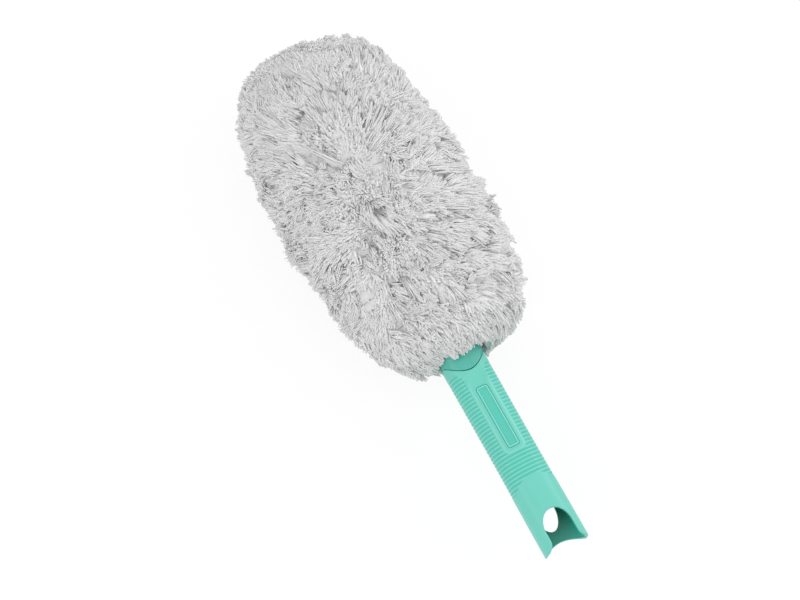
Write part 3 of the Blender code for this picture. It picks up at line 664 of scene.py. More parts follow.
# Moulded plastic: a fine spark-eroded grain, a faint cloudiness in the pigment, and a polish where
# hands have rubbed it.
moulded, given, result = new_group("moulded_plastic", {"Colour": MINT, "Grain": 1.0, "Polish": 0.0},
                                   {"Colour": "Color", "Roughness": "Float", "Normal": "Vector"})
grain = noise(moulded, 1400.0, 2.0)
shade = output_of(moulded, "MapRange", "Result", Value=noise(moulded, 45.0, 3.0), To_Min=0.965,
                  To_Max=1.035)
tinted = output_of(moulded, "VectorMath", "Vector", {"operation": "SCALE"}, _0=given["Colour"],
                   Scale=shade)
bump = output_of(moulded, "Bump", "Normal", Strength=given["Grain"], Distance=0.00003, Height=grain)
rough = output_of(moulded, "MapRange", "Result", Value=grain, To_Min=0.32, To_Max=0.46)
rubbed = output_of(moulded, "MapRange", "Result", Value=given["Polish"], To_Min=1.0, To_Max=0.50)
set_sockets(moulded, result, Colour=tinted, Roughness=maths(moulded, "MULTIPLY", rough, rubbed),
            Normal=bump)


def mould_finish(tree, shader, **sockets):
    """The moulded plastic group with its own values, feeding a material's shader."""
    finish = new_node(tree, "Group", {"node_tree": moulded}, **sockets).outputs
    set_sockets(tree, shader, Base_Color=finish["Colour"], Roughness=finish["Roughness"],
                Normal=finish["Normal"])


mint_plastic, tree, shader = new_material("mint_grip_plastic")
# The tone attribute picks plain mint, painted shade or a painted highlight. The painted highlights are also
# polished, which lowers their roughness.
toned = output_of(tree, "Attribute", "Fac", {"attribute_name": "tone"})
tones = new_node(tree, "ValToRGB", Fac=toned)
for place, colour in MINT_TONES.items():
    stop = tones.color_ramp.elements.new(place) if 0 < place < 1 else tones.color_ramp.elements[-int(place)]
    stop.color = colour
polish = output_of(tree, "MapRange", "Result", Value=toned, From_Min=0.80)
mould_finish(tree, shader, Colour=tones.outputs["Color"], Grain=0.5, Polish=polish)
grip.data.materials.append(mint_plastic)
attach(grip, "grip_body")
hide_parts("grip")

# Snap button. A mint stud in the underside that locks the head's plug in the grip: a domed face, a
# straight shank and a flange that holds it inside the plug.
BUTTON_RADIUS = 0.0047
BUTTON_FLANGE = (0.0056, 0.0015)  # radius and thickness
BUTTON_SKIN_Z = AXIS_Z - GRIP_HALF[1]
BUTTON_SHANK = 0.00024  # how far the straight shank stands out of the skin
BUTTON_DOME = 0.00096
DOME_ANGLES = (0, 8, 18, 30, 42, 54, 66, 78, 86)  # degrees up from its rim, one for each ring
BUTTON_TURNS = 64
FLANGE_ROUND = 0.00025
FLANGE_RINGS = (0.0004, 0.0022)  # radii of the rings in the flange's flat top


def ringed_piece(name, rings, closed=False):
    """Piece from rings of points, capped at both ends, or closed from the last ring to the first."""
    rings = np.asarray(rings)
    numbers = np.arange(rings.shape[0] * rings.shape[1]).reshape(rings.shape[:2])
    if closed:
        faces = [loop_quads(np.concatenate([numbers, numbers[:1]]))]
    else:
        faces = [loop_quads(numbers), numbers[:1], numbers[-1:, ::-1]]
    return new_piece(name, rings.reshape(-1, 3), *faces)


# The profile runs from the flange's top, round its rounded edge and down the shank to the dome.
flange_top = button_high.z
profile = [(radius, flange_top) for radius in FLANGE_RINGS]
for angle in np.radians(np.linspace(0, 90, 5)):
    drawn_in, dropped = FLANGE_ROUND * (1 - math.sin(angle)), FLANGE_ROUND * (1 - math.cos(angle))
    profile.append((BUTTON_FLANGE[0] - drawn_in, flange_top - dropped))
profile += [(radius, flange_top - BUTTON_FLANGE[1]) for radius in (BUTTON_FLANGE[0], BUTTON_RADIUS)]
for angle in np.radians(DOME_ANGLES):
    dome_z = BUTTON_SKIN_Z - BUTTON_SHANK - BUTTON_DOME * math.sin(angle)
    profile.append((BUTTON_RADIUS * math.cos(angle), dome_z))
button_radius, button_z = np.array(profile).T[:, :, None]
button_turn = 2 * np.pi * np.arange(BUTTON_TURNS) / BUTTON_TURNS
button = ringed_piece("domed_button", np.stack([
    BUTTON_X + button_radius * np.cos(button_turn), button_radius * np.sin(button_turn),
    np.repeat(button_z, BUTTON_TURNS, axis=1)], axis=-1))
face_outwards(button, 50.0)
button_tone = np.full(len(profile), SKIN_TONE)
button_tone[-8:-5] = (SKIN_TONE + EDGE_HIGHLIGHT_TONE) / 2  # the dome's rim: painted halfway to the highlight tone, and a little polished
add_value(button, "tone", np.repeat(button_tone, BUTTON_TURNS))
button.data.materials.append(mint_plastic)
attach(button, "button")
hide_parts("snap_button")

# Snap spring. A leaf of sprung steel bent double in the plug's bore: its lower leg pushes the button out,
# its upper leg bears on the bore's roof.
spring_low, spring_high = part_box("snap_spring")
SPRING_THICKNESS = 0.0006
SPRING_EDGE = 0.00022  # rounding of the leaf's edges
SPRING_STEPS = 12

spring_middle = (spring_low.z + spring_high.z) / 2
bend_radius = (spring_high.z - spring_low.z - SPRING_THICKNESS) / 2
bend_x = spring_low.x + bend_radius + SPRING_THICKNESS / 2
leg = np.linspace(spring_high.x, bend_x, SPRING_STEPS)
bend = np.radians(np.linspace(270, 90, 37)[1:-1])
spring_path = np.concatenate([
    np.stack([leg, np.full(SPRING_STEPS, spring_middle - bend_radius)], axis=1),
    np.stack([bend_x + bend_radius * np.cos(bend), spring_middle + bend_radius * np.sin(bend)], axis=1),
    np.stack([leg[::-1], np.full(SPRING_STEPS, spring_middle + bend_radius)], axis=1),
])
spring_heading = unit(np.gradient(spring_path, axis=0))
spring_across = np.stack([-spring_heading[:, 1], spring_heading[:, 0]], axis=1)

# The leaf's section is a bar, its four corners quarter circles.
corner_turn = np.arange(4)[:, None] * np.pi / 2 + np.radians(np.linspace(0, 90, 4))
corner_middle = np.array([[1, 1], [-1, 1], [-1, -1], [1, -1]]) * (spring_high.y - SPRING_EDGE,
                                                                  SPRING_THICKNESS / 2 - SPRING_EDGE)
leaf = corner_middle[:, None] + SPRING_EDGE * np.stack([np.cos(corner_turn), np.sin(corner_turn)], axis=-1)
leaf = leaf.reshape(-1, 2)
spring = ringed_piece("steel_leaf", np.stack([
    spring_path[:, :1] + spring_across[:, :1] * leaf[:, 1],
    np.repeat(leaf[None, :, 0], len(spring_path), axis=0),
    spring_path[:, 1:] + spring_across[:, 1:] * leaf[:, 1]], axis=-1))
face_outwards(spring, 60.0)
steel, tree, shader = new_material("rolled_steel")
where = output_of(tree, "TexCoord", "Object")
rolled = output_of(tree, "Mapping", "Vector", Vector=where, Scale=(300.0, 6000.0, 300.0))
lines = output_of(tree, "TexNoise", "Fac", Vector=rolled, Scale=1.0, Detail=3.0)
steel_tone = output_of(tree, "MapRange", "Result", Value=lines, To_Min=0.52, To_Max=0.66)
steel_grey = output_of(tree, "CombineColor", "Color", Red=steel_tone, Green=steel_tone, Blue=steel_tone)
steel_rough = output_of(tree, "MapRange", "Result", Value=lines, To_Min=0.22, To_Max=0.42)
steel_bump = output_of(tree, "Bump", "Normal", Strength=0.3, Distance=0.00002, Height=lines)
set_sockets(tree, shader, Base_Color=steel_grey, Roughness=steel_rough, Normal=steel_bump, Metallic=1.0)
spring.data.materials.append(steel)
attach(spring, "grip_body")
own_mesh(spring)
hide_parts("snap_spring")

# Head carrier. The stiff mint core inside the sleeve: a flat blade, a shoulder, the neck in front of the
# seam and a hollow plug inside the grip's socket. It keeps the solid's own mesh.
# Its mint is painted darker than the grip's, as the shade that the pile casts over the neck.
CARRIER_MINT_IN_SHADE = (0.092, 0.495, 0.405, 1.0)
carrier_plastic, tree, shader = new_material("carrier_plastic_finish")
mould_finish(tree, shader, Colour=CARRIER_MINT_IN_SHADE, Grain=0.9)
carrier = bpy.data.objects["head_carrier"]
for slot in carrier.material_slots:
    slot.material = carrier_plastic

# Elastic cuff. A band of elastic knit, ribbed lengthways, sewn into a ring and stitched to the pocket's
# mouth. It grips the neck and holds the sleeve on.
pocket_low, pocket_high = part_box("sleeve_pocket")
cuff_low, cuff_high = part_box("elastic_cuff")
CUFF_START = cuff_low.x
CUFF_END = cuff_high.x
CUFF_GAP = 0.0008
CUFF_WALL = 0.0016
CUFF_RIBS = 52
RIB_COLUMNS = 6
CUFF_RIB_DEPTH = 0.00035
CUFF_RINGS = 26
CUFF_HEM = 0.0006  # how much thinner the band is at its two edges
NECK_X = GRIP_X - 0.0120
BLADE_END_X = NECK_X - 0.0155
BLADE_HALF = np.array([0.0250, 0.0040])
BLADE_POWER = 2.6


def carrier_form(x):
    """Half size and power of the carrier's oval at x: the blade's, then a smooth step to the neck's."""
    share = smooth_step(x, BLADE_END_X, NECK_X)[..., None]
    power = BLADE_POWER + (GRIP_POWER - BLADE_POWER) * share[..., 0]
    return BLADE_HALF + (GRIP_HALF - BLADE_HALF) * share, power


def carrier_ring(x, clearance, turns):
    """Ring of points round the carrier at x, each moved out from its skin by a clearance."""
    half, power = carrier_form(np.array(x))
    y, z = oval_at(oval_table(half, power), turns)
    y, z = y * half[0], z * half[1]
    out_y, out_z = oval_normal(y, z, *half, power)
    return np.stack([np.full(len(turns), x), y + out_y * clearance, z + out_z * clearance + AXIS_Z], axis=1)


cuff_turns = np.arange(CUFF_RIBS * RIB_COLUMNS) / (CUFF_RIBS * RIB_COLUMNS)
cuff_wave = CUFF_RIB_DEPTH * (np.cos(2 * np.pi * CUFF_RIBS * cuff_turns) - 1) / 2
cuff_places = np.linspace(CUFF_START, CUFF_END, CUFF_RINGS)
edge_round = CUFF_HEM * np.abs(np.linspace(-1, 1, CUFF_RINGS)) ** 12
cuff_rings = [carrier_ring(x, CUFF_GAP + CUFF_WALL - e + cuff_wave, cuff_turns)
              for x, e in zip(cuff_places, edge_round)]
cuff_rings += [carrier_ring(x, CUFF_GAP + e, cuff_turns) for x, e in zip(cuff_places[::-1], edge_round)]
cuff = ringed_piece("knitted_cuff", cuff_rings, closed=True)


def lay_threads(piece, around, along, threads):
    """UV map that counts threads: U round the piece, V along it, running on where a loop closes."""
    corners = np.empty(len(piece.data.loops), np.int32)
    piece.data.loops.foreach_get("vertex_index", corners)
    faces = np.empty(len(piece.data.polygons), np.int32)
    piece.data.polygons.foreach_get("loop_start", faces)
    face = np.searchsorted(faces, np.arange(len(corners)), side="right") - 1
    placed = []
    for value, count, period in ((around, threads[0], 1.0), (along, threads[1], along.max())):
        value = value[corners]
        furthest = np.maximum.reduceat(value, faces)[face]
        value = value + period * (furthest - value > period / 2)
        placed.append(value / period * count)
    layer = piece.data.uv_layers.new(name="threads")
    layer.data.foreach_set("uv", np.stack(placed, axis=1).astype(np.float32).ravel())


# Threads: each bulges between the ones that cross it. A slant of 0 is a plain weave; more bends the
# lengthways threads into the zigzag of a knit. The hollows between threads are painted a little darker, as
# shade.
threaded, given, result = new_group(
    "crossing_threads", {"Colour": (0.8, 0.8, 0.8, 1.0), "Across": 0.0, "Along": 0.0, "Slant": 0.0},
    {"Colour": "Color", "Height": "Float"})


def wave(value):
    """Cosine of a thread count, one turn for each two threads."""
    return maths(threaded, "COSINE", maths(threaded, "MULTIPLY", value, math.pi))


along_wave = wave(given["Along"])
lean_over = maths(threaded, "MULTIPLY_ADD", along_wave, given["Slant"], given["Across"])
bulge = maths(threaded, "ABSOLUTE", maths(threaded, "MULTIPLY", wave(lean_over), along_wave))
hollow_shade = output_of(threaded, "MapRange", "Result", Value=bulge, From_Max=0.5, To_Min=0.72)
threaded_tone = output_of(threaded, "VectorMath", "Vector", {"operation": "SCALE"}, _0=given["Colour"],
                          Scale=hollow_shade)
set_sockets(threaded, result, Colour=threaded_tone, Height=bulge)


def thread_cloth(name, colour, slant, depth):
    """Cloth of crossing threads laid out by a piece's UV map, with a little fuzz."""
    cloth, tree, shader = new_material(name)
    laid = output_of(tree, "UVMap", "UV", {"uv_map": "threads"})
    counts = new_node(tree, "SeparateXYZ", Vector=laid).outputs
    weave = new_node(tree, "Group", {"node_tree": threaded}, Colour=colour, Across=counts["X"],
                     Along=counts["Y"], Slant=slant).outputs
    height = maths(tree, "MULTIPLY_ADD", noise(tree, 2500.0, 2.0), 0.3, weave["Height"])
    raised = output_of(tree, "Bump", "Normal", Strength=0.8, Distance=depth, Height=height)
    set_sockets(tree, shader, Base_Color=weave["Colour"], Normal=raised, Roughness=0.85, Sheen_Weight=0.2)
    return cloth


CUFF_THREADS = (260, 64)
cuff_run = np.concatenate([cuff_places, 2 * cuff_places[-1] - cuff_places[::-1]]) - cuff_places[0]
lay_threads(cuff, np.tile(cuff_turns, len(cuff_rings)), np.repeat(cuff_run, len(cuff_turns)), CUFF_THREADS)
face_outwards(cuff, 75.0)
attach(cuff, "sleeve")
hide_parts("elastic_cuff")
cuff.data.materials.append(thread_cloth("elastic_knit", (0.80, 0.81, 0.82, 1.0), 0.25, 0.00025))

# Sleeve pocket. A closed bag of woven backing cloth that slides over the blade: cut flat, folded
# lengthways and sewn shut along one edge and across the tip. The pile is sewn to it.
POCKET_WALL = 0.0015
POCKET_CORNER = 0.0030
POCKET_OUTER = np.array([pocket_high.y - pocket_low.y, pocket_high.z - pocket_low.z]) / 2
POCKET_COLUMNS = 96
POCKET_THREADS = (168, 560)
pocket_straight = np.linspace(pocket_low.x + POCKET_CORNER + 0.0010, pocket_high.x, 24)
pocket_turns = np.arange(POCKET_COLUMNS) / POCKET_COLUMNS
pocket_oval = np.stack(oval_at(oval_table(POCKET_OUTER, BLADE_POWER), pocket_turns), axis=1)


def pocket_ring(x, half):
    """Ring of the pocket's oval at x, at a half size."""
    flat = pocket_oval * half
    return np.column_stack([np.full(len(flat), x), flat[:, 0], flat[:, 1] + AXIS_Z])


def bag_face(gap):
    """Rings of one face of the bag's wall, from the middle of its tip to its mouth, a gap inside the other.

    The tip's edge is a quarter circle: the rings draw in by 1 - cos of the angle, and go back by 1 - sin.
    """
    rings = [pocket_ring(pocket_low.x + gap, (POCKET_OUTER - POCKET_CORNER) * s) for s in (0.02, 0.4, 0.8)]
    for angle in np.radians(np.linspace(90, 0, 6)):
        back, drawn_in = (POCKET_CORNER - gap) * np.array([1 - math.sin(angle), 1 - math.cos(angle)])
        rings.append(pocket_ring(pocket_low.x + gap + back, POCKET_OUTER - gap - drawn_in))
    return rings + [pocket_ring(x, POCKET_OUTER - gap) for x in pocket_straight]


pocket_rings = bag_face(POCKET_WALL) + bag_face(0.0)[::-1]
pocket = ringed_piece("backing_pocket", pocket_rings)
pocket_step = np.diff([[r[:, 0].mean(), np.abs(r[:, 1]).max()] for r in pocket_rings], axis=0)
pocket_run = np.concatenate([[0.0], np.cumsum(np.hypot(*pocket_step.T))])
lay_threads(pocket, np.tile(pocket_turns, len(pocket_rings)), np.repeat(pocket_run, POCKET_COLUMNS),
            POCKET_THREADS)
face_outwards(pocket)
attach(pocket, "sleeve")
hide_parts("sleeve_pocket")
pocket.data.materials.append(thread_cloth("backing_cloth", (0.84, 0.84, 0.83, 1.0), 0.0, 0.00020))

# Pile. Nine rows of white microfibre strands, sewn in tufts to heading tapes round the pocket and
# trimmed to the head's outline. The first row also closes the tip, the last one hangs over the neck.
ROW_COUNT = 9
HEAD_TIP_X = cad_box[0].x
PILE_END_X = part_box("pile_row_09")[1].x
HEAD_HALF = np.array([0.0738, 0.0490])
HEAD_SWAY = 0.0080  # the neck end of the pile hangs this far over to the right
SWAY_ENDS = (-0.150, 0.045)
TAPER = 0.03  # wider at the neck end by this share
WIDTH_POWERS = (2.95, 2.80)  # of the outline towards the tip and towards the neck
HEIGHT_POWERS = (6, 2.2)
OUTLINE_ENDS = (HEAD_TIP_X - 0.0002, PILE_END_X + 0.0038)
OUTLINE_MIDDLE = sum(OUTLINE_ENDS) / 2
OUTLINE_REACH = OUTLINE_ENDS[1] - OUTLINE_MIDDLE
GIRTH_POWER = 2.3
VALLEY = 0.0055
TAPE_HALF = POCKET_OUTER + 0.0018
TAPE_WALL = 0.0015
TAPE_SPACE = 0.0070
CAP_X = pocket_low.x - 0.0018
SKIRT_X = pocket_low.x + 0.0073
CLEAR_OF_CUFF = 0.0034
CLEAR_LESS = 0.0024  # how much closer the pile lies to the neck and grip than to the cuff
TABLE_BEND = 0.0015  # below this height the fibres bend flat along the table
TUFTS = 240
END_TUFTS = {0: 0.45, ROW_COUNT - 1: 0.30}  # share of the end rows' tufts that cover the tip or the neck
BUNDLES_A_TUFT = 6
STRANDS_A_BUNDLE = 9
HEART = 0.82  # below this share of the way out the strands are too close to tell apart
STRAND_START = 0.74
NECK_COMB = 0.14  # how much further in the last row shows its strands, which are combed over the neck
STRAND_RADIUS = 0.00044
STRAND_TONES = np.array([0.935, 0.975, 1.0])  # brighter towards the tip, where more light gets in
# The heart is painted darker than the strands, as the shade deep in the pile.
HEART_SHADE_TONE = 0.82
HEART_COLUMNS = 180
HEART_GAP = 0.0001
HEART_LUMPS = (0.022, 0.007)  # share of the way out, and size
HEART_SINK = 0.036
LOCK_SIZE = 0.038  # patches of pile about this wide lean together
LOCK_LEAN = 0.0190
LOCK_SWIRL = 1.4
LOCK_GATHER = 0.28  # the part of their lean that opens and closes gaps
TUFT_STRAY = 0.0014
LOCK_SINK = 0.034  # how much shorter the pile is between locks
UNDER_SHARE = 0.42  # bundles that stay short and upright, and close the partings between locks
# What differs between the bundles under the others and those on top of them.
LEAN_SHARE = (0.3, 1.0)
STRAY = (0.0045, 0.0020)
LENGTH_SHARE = (0.93, 1.0)
FAN = (0.0024, 0.0012)
THICKNESS = (2.1, 1.0)
BUNDLE_SHORT = 0.13  # how much shorter than its tuft a bundle can be
STRAND_SHORT = 0.07  # and a strand than its bundle
ROOT_STRAY = 0.0010
BELLY_STRAY = (0.0028, 0.0014)  # of a tuft's curve and of a bundle's
STRAND_STRAY = 0.0007
KINK = 0.00025
CURVE_OUT = 0.60  # share of its reach that a bundle first goes straight out from the tape

girth = oval_table(HEAD_HALF, GIRTH_POWER)
tape_oval = oval_table(TAPE_HALF, BLADE_POWER)


def outline_half(x):
    """Half width and half height of the head's outline at x, fuller at the tip than at the neck."""
    along = (x - OUTLINE_MIDDLE) / OUTLINE_REACH
    reach = np.clip(np.abs(along), 0.0, 1.0)
    power = np.where(along < 0, *WIDTH_POWERS)
    width = HEAD_HALF[0] * (1 + TAPER * along) * (1 - reach ** power) ** (1 / power)
    return width, HEAD_HALF[1] * (1 - reach ** HEIGHT_POWERS[0]) ** (1 / HEIGHT_POWERS[1])


PROFILE_STEPS = 3000
profile_x = OUTLINE_MIDDLE - OUTLINE_REACH * np.cos(np.linspace(0, np.pi * 0.99, PROFILE_STEPS))
profile_radius = sum(outline_half(profile_x)) / 2
profile_run = np.cumsum(np.hypot(np.diff(profile_x), np.diff(profile_radius)))
profile_run = np.concatenate([[0.0], profile_run])


def run_at(x):
    """Distance along the head's profile from the middle of its tip to x."""
    return np.interp(x, profile_x, profile_run)


def pile_outline(run, turn):
    """Point on the head's outline at a run from its tip and a share of the girth.

    A run below 0 has gone over the tip, and comes down on the other side.
    """
    x = np.interp(np.abs(run), profile_run, profile_x)
    width, height = outline_half(x)
    turn = np.mod(turn + np.where(run < 0, 0.5, 0.0), 1.0)
    sway = HEAD_SWAY * smooth_step(x, *SWAY_ENDS)
    y, z = oval_at(girth, turn)
    return np.stack([x, y * width + sway, z * height], axis=-1)


def turned(turn, run, distance):
    """A share of the girth, moved on by a distance round the head where the run lies."""
    radius = np.interp(np.abs(run), profile_run, profile_radius)
    return turn + distance / (2 * np.pi * np.maximum(radius, 0.004))


def tape_point(x, turn, share=1.0):
    """Point on a heading tape, or on the cap that closes the pocket's tip at a share of its size."""
    y, z = oval_at(tape_oval, np.mod(turn, 1.0))
    return np.stack([x, y * TAPE_HALF[0] * share, z * TAPE_HALF[1] * share], axis=-1)


def slow_waves(points, seed, wave, count=20):
    """Smooth random field, about -1 to 1: the mean of cosine waves in random directions."""
    waves_chance = np.random.default_rng(seed)
    heading = waves_chance.normal(size=(count, 3))
    heading *= 2 * np.pi / wave / np.linalg.norm(heading, axis=1, keepdims=True)
    heading *= waves_chance.uniform(0.7, 1.4, (count, 1))
    phase = waves_chance.uniform(0, 2 * np.pi, count)
    return np.cos(points @ heading.T + phase).sum(axis=1) * np.sqrt(1 / count)


def lock_lean(run, turn):
    """Lean of the locks along and round the head, about -1 to 1.

    Most of it is the slope of a random field turned by 90 degrees, which swirls without opening gaps.
    The rest is two more random fields, which gather and part.
    """
    step = 0.002

    def field(seed, run_step, turn_step):
        there = run + run_step
        return slow_waves(pile_outline(there, turned(turn, there, turn_step)), seed, LOCK_SIZE)

    slope_run = (field(7, step, 0.0) - field(7, -step, 0.0)) / (2 * step)
    slope_turn = (field(7, 0.0, step) - field(7, 0.0, -step)) / (2 * step)
    swirl = np.stack([slope_turn, -slope_run], axis=1) * LOCK_SIZE / (2 * np.pi)
    gather = np.stack([field(8, 0.0, 0.0), field(9, 0.0, 0.0)], axis=1)
    return swirl * LOCK_SWIRL + gather * LOCK_GATHER


def clear_of_handle(points):
    """Points near the neck and grip, moved out to a clearance from the cuff, the neck or the grip."""
    half, power = carrier_form(points[..., 0])
    past_cuff = smooth_step(points[..., 0], CUFF_END - 0.001, CUFF_END + 0.004)
    half = half + (CLEAR_OF_CUFF - CLEAR_LESS * past_cuff)[..., None]
    inside = ((np.abs(points[..., 1:]) / half) ** power[..., None]).sum(axis=-1)
    grow = np.maximum(inside, 1e-9) ** (-1 / power)
    grow = np.where((inside < 1) & (points[..., 0] > CUFF_START - 0.001), np.minimum(grow, 3.0), 1.0)
    points[..., 1:] *= grow[..., None]
    return points


def tubes(lines, radius, chance):
    """Three-sided tubes along many lines at once, their rings square to each line's chord."""
    count, stations, _ = lines.shape
    chord = unit(lines[:, -1] - lines[:, 0])
    side = unit(np.cross(chord, chance.normal(size=(count, 3))))
    other = np.cross(chord, side)
    angle = np.radians([0.0, 120.0, 240.0])[None, :, None]
    ring = np.cos(angle) * side[:, None] + np.sin(angle) * other[:, None]
    points = lines[:, :, None] + ring[:, None] * radius[:, :, None, None]
    numbers = np.arange(count * stations * 3).reshape(count, stations, 3)
    after = np.roll(numbers, -1, axis=2)
    quads = np.stack([numbers[:, :-1], after[:, :-1], after[:, 1:], numbers[:, 1:]], axis=-1)
    caps = np.concatenate([numbers[:, 0, ::-1], numbers[:, -1]])
    return points.reshape(-1, 3), quads.reshape(-1, 4), caps


def bent_line(start, control, end, shares):
    """Points along a quadratic curve: (1-t)^2 start + 2t(1-t) control + t^2 end."""
    t = np.asarray(shares)[None, :, None]
    return (1 - t) ** 2 * start[:, None] + 2 * t * (1 - t) * control[:, None] + t ** 2 * end[:, None]


def make_pile_row(row):
    """One row: tufts on a heading tape, each of a few bundles that open into strands."""
    chance = np.random.default_rng(100 + row)
    pitch = (PILE_END_X - HEAD_TIP_X) / ROW_COUNT
    slot = (pocket_high.x - SKIRT_X) / (ROW_COUNT - 1)
    first, last = row == 0, row == ROW_COUNT - 1
    tape_x1 = SKIRT_X + slot * row
    tape_x0 = CAP_X + TAPE_WALL if first else tape_x1 - slot + TAPE_SPACE
    tip_x0 = HEAD_TIP_X + (pitch / 2 if first else pitch * row + VALLEY / 2)
    tip_x1 = PILE_END_X if last else HEAD_TIP_X + pitch * (row + 1) - VALLEY / 2

    # Tufts stand in five staggered lines along the tape. The end rows have more beside them, all over
    # the cap, or out of the last tape's rear edge and over the neck.
    end_tufts = int(TUFTS * END_TUFTS.get(row, 0.0))
    side_tufts = TUFTS - end_tufts
    number = np.arange(side_tufts)
    across = (number % 5 + 0.5 + chance.uniform(-0.4, 0.4, side_tufts)) / 5
    turn = (number + chance.uniform(-1.5, 1.5, side_tufts)) / side_tufts
    root = tape_point(tape_x0 + (tape_x1 - tape_x0) * across, turn)
    out = np.stack([np.zeros(side_tufts), root[:, 1] / TAPE_HALF[0] ** 1.2,
                    root[:, 2] / TAPE_HALF[1] ** 1.2], axis=1)
    tip_run = run_at(tip_x0 + (tip_x1 - tip_x0) * across)
    length = 1 - 0.08 * np.abs(2 * across - 1) ** 3
    inward = np.ones(TUFTS)  # a tuft's share of the outline's half size

    if first:
        share = np.sqrt((np.arange(end_tufts) + chance.random(end_tufts)) / end_tufts)
        end_turn = np.arange(end_tufts) * 0.381966 + chance.uniform(-0.03, 0.03, end_tufts)
        end_root = tape_point(np.full(end_tufts, CAP_X), end_turn, share)
        end_run = run_at(tip_x0) * share
        end_out = np.tile([-1.0, 0.0, 0.0], (end_tufts, 1))
    if last:
        end_turn = chance.random(end_tufts)
        inward[side_tufts:] = np.sqrt(chance.uniform(0.15, 1.0, end_tufts))
        end_root = tape_point(np.full(end_tufts, tape_x1 - 0.0008), end_turn)
        end_run = run_at(PILE_END_X - chance.random(end_tufts) ** 2 * 0.006)
        end_out = end_root * (0, 1, 1)
    if first or last:
        root, out = np.concatenate([root, end_root]), np.concatenate([out, end_out])
        tip_run, turn = np.concatenate([tip_run, end_run]), np.concatenate([turn, end_turn])
        length = np.concatenate([length, np.ones(end_tufts)])
    out = unit(out)

    # Whole locks of pile lean together, so that tufts gather, part and lie over each other.
    lean = lock_lean(tip_run, turn) * LOCK_LEAN + chance.normal(0, TUFT_STRAY, (TUFTS, 2))
    swell = slow_waves(pile_outline(tip_run, turn), 10, LOCK_SIZE)
    length *= 1 - LOCK_SINK * (1 + swell) - 0.02 * chance.random(TUFTS) ** 2

    bundles = TUFTS * BUNDLES_A_TUFT
    tuft = np.repeat(np.arange(TUFTS), BUNDLES_A_TUFT)
    under = chance.random(bundles) < UNDER_SHARE
    leans = lean[tuft] * np.where(under, *LEAN_SHARE)[:, None]
    leans += chance.normal(0, 1.0, (bundles, 2)) * np.where(under, *STRAY)[:, None]
    bundle_run = tip_run[tuft] + leans[:, 0]
    bundle_turn = turned(turn[tuft], bundle_run, leans[:, 1])
    bundle_length = length[tuft] * (1 - BUNDLE_SHORT * chance.random(bundles) ** 2.2)
    bundle_length *= np.where(under, *LENGTH_SHARE)
    bundle_root = root[tuft] + chance.normal(0, ROOT_STRAY, (bundles, 3))
    belly = chance.normal(0, BELLY_STRAY[0], (TUFTS, 3))[tuft]
    belly = belly + chance.normal(0, BELLY_STRAY[1], (bundles, 3))

    strands = bundles * STRANDS_A_BUNDLE
    bundle = np.repeat(np.arange(bundles), STRANDS_A_BUNDLE)
    fan = np.where(under, *FAN)[bundle]
    strand_run = bundle_run[bundle] + chance.normal(0, 1.0, strands) * fan
    strand_run = np.minimum(strand_run, run_at(PILE_END_X + 0.001))
    strand_turn = turned(bundle_turn[bundle], strand_run, chance.normal(0, 1.0, strands) * fan)
    strand_length = bundle_length[bundle] * (1 - STRAND_SHORT * chance.random(strands))

    def grown(root, run, turn, length, tuft):
        """Tips on the outline at a share of their length, drawn in for the tufts over the neck."""
        far = pile_outline(run, turn)
        far[:, 1:] *= inward[tuft][:, None]
        return root + (far - root) * length[:, None]

    bundle_tip = grown(bundle_root, bundle_run, bundle_turn, bundle_length, tuft)
    reach = np.linalg.norm(bundle_tip - bundle_root, axis=1)[:, None]
    control = bundle_root + out[tuft] * reach * CURVE_OUT + (bundle_tip - bundle_root) * 0.10 + belly
    strand_tip = grown(bundle_root[bundle], strand_run, strand_turn, strand_length, tuft[bundle])
    strand_control = control[bundle] + (strand_tip - bundle_tip[bundle]) * 0.4
    strand_control += chance.normal(0, STRAND_STRAY, (strands, 3))
    shares = (STRAND_START - NECK_COMB, 0.84, 1.0) if last else (STRAND_START, 0.88, 1.0)
    line = bent_line(bundle_root[bundle], strand_control, strand_tip, shares)
    line[:, 1] += chance.normal(0, KINK, (strands, 3))
    radius = STRAND_RADIUS * chance.uniform(0.8, 1.2, strands) * np.where(under, *THICKNESS)[bundle]
    radius = radius[:, None] * (1.1, 1.1, 0.85)
    points, quads, caps = tubes(clear_of_handle(line), radius, chance)

    # The heart of the row is a ring round the tape, or a dome over the tip for the first row.
    turns = np.arange(HEART_COLUMNS) / HEART_COLUMNS
    half_steps = ((1.0, 0.0), (1.0, 0.93), (0.97, 0.96), (0.88, 0.98), (0.75, 0.99), (0.62, 1.0),
                  (0.5, 1.0))
    steps = tuple((1 - over, height) for over, height in half_steps) + half_steps[-2::-1]
    if first:
        over_tip = (-0.98, -0.85, -0.7, -0.55, -0.4, -0.25, -0.1, 0.1, 0.3)
        steps = tuple((over, 1.0) for over in over_tip) + steps[6:]
    heart_x0 = tip_x0 if first else tip_x0 - VALLEY / 2 + HEART_GAP
    heart_x1 = tip_x1 if last else tip_x1 + VALLEY / 2 - HEART_GAP
    foot_x0 = tape_x0 if first else tape_x0 - TAPE_SPACE / 2
    foot_x1 = tape_x1 if last else tape_x1 + TAPE_SPACE / 2
    heart = []
    for over, height in steps:
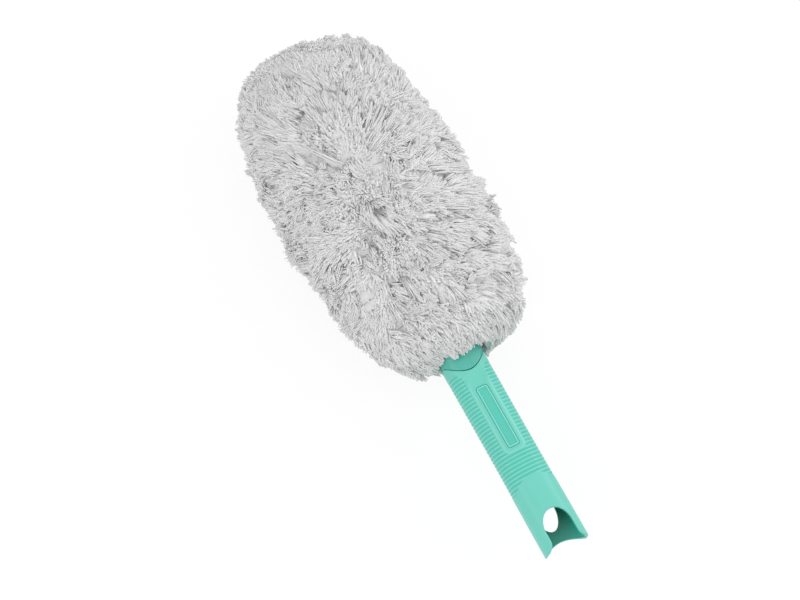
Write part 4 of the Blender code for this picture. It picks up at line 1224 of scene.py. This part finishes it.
        # The heart stands on the tape's two edges, and widens at once to meet its neighbours half way.
        foot_x = foot_x0 + (foot_x1 - foot_x0) * max(over, 0)
        if height == 0:
            foot_x = tape_x1 if over else tape_x0
        foot = tape_point(np.full(HEART_COLUMNS, foot_x), turns, 1 + min(over, 0) - 0.02)
        run = run_at(heart_x0 + (heart_x1 - heart_x0) * max(over, 0)) * (1 + min(over, 0))
        top = pile_outline(np.full(HEART_COLUMNS, run), turns)
        lumps = 1 + HEART_LUMPS[0] * slow_waves(top, 11, HEART_LUMPS[1])
        lumps -= HEART_SINK * (1 + slow_waves(top, 10, LOCK_SIZE))
        heart_share = HEART - NECK_COMB * max(over, 0) if last else HEART
        heart.append(foot + (top - foot) * heart_share * height * lumps[:, None])
    heart = clear_of_handle(np.concatenate(heart))
    heart_numbers = len(points) + np.arange(len(heart)).reshape(len(steps), -1)
    heart_quads = loop_quads(heart_numbers if first else np.concatenate([heart_numbers, heart_numbers[:1]]))
    pole = heart_numbers[:1] if first else np.zeros((0, HEART_COLUMNS), int)

    # The underside lies on the table: what would go under it bends flat along it.
    everything = np.concatenate([points, heart]) + (0.0, 0.0, AXIS_Z)
    low = everything[:, 2] < TABLE_BEND
    everything[low, 2] = TABLE_BEND * np.exp(everything[low, 2] / TABLE_BEND - 1)

    piece = new_piece(f"fibre_row_{row + 1:02d}", everything, np.concatenate([quads, heart_quads]), caps,
                      pole)
    own = chance.random(strands) * 0.6 + chance.random(bundles)[bundle] * 0.4
    strand_tones = STRAND_TONES * (0.96 + 0.04 * own[:, None])
    # Tones: strands brighter towards their tips and the heart darker, as painted light and shade.
    add_value(piece, "tone", np.concatenate([np.repeat(strand_tones, 3), np.full(len(heart), HEART_SHADE_TONE)]))
    return piece


fibre, tree, shader = new_material("white_microfibre")
shade = output_of(tree, "Attribute", "Fac", {"attribute_name": "tone"})
fuzz = noise(tree, 900.0, 3.0)
mottle = output_of(tree, "MapRange", "Result", Value=fuzz, To_Min=0.95, To_Max=1.03)
tone = maths(tree, "MULTIPLY", shade, mottle)
grey = output_of(tree, "CombineColor", "Color", Red=tone, Green=tone, Blue=tone)
fuzz_bump = output_of(tree, "Bump", "Normal", Strength=0.5, Distance=0.0004, Height=fuzz)
set_sockets(tree, shader, Base_Color=grey, Normal=fuzz_bump, Roughness=0.85, Sheen_Weight=0.25)

for row in range(ROW_COUNT):
    fibre_row = make_pile_row(row)
    fibre_row.data.materials.append(fibre)
    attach(fibre_row, "sleeve")
    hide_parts(f"pile_row_{row + 1:02d}")
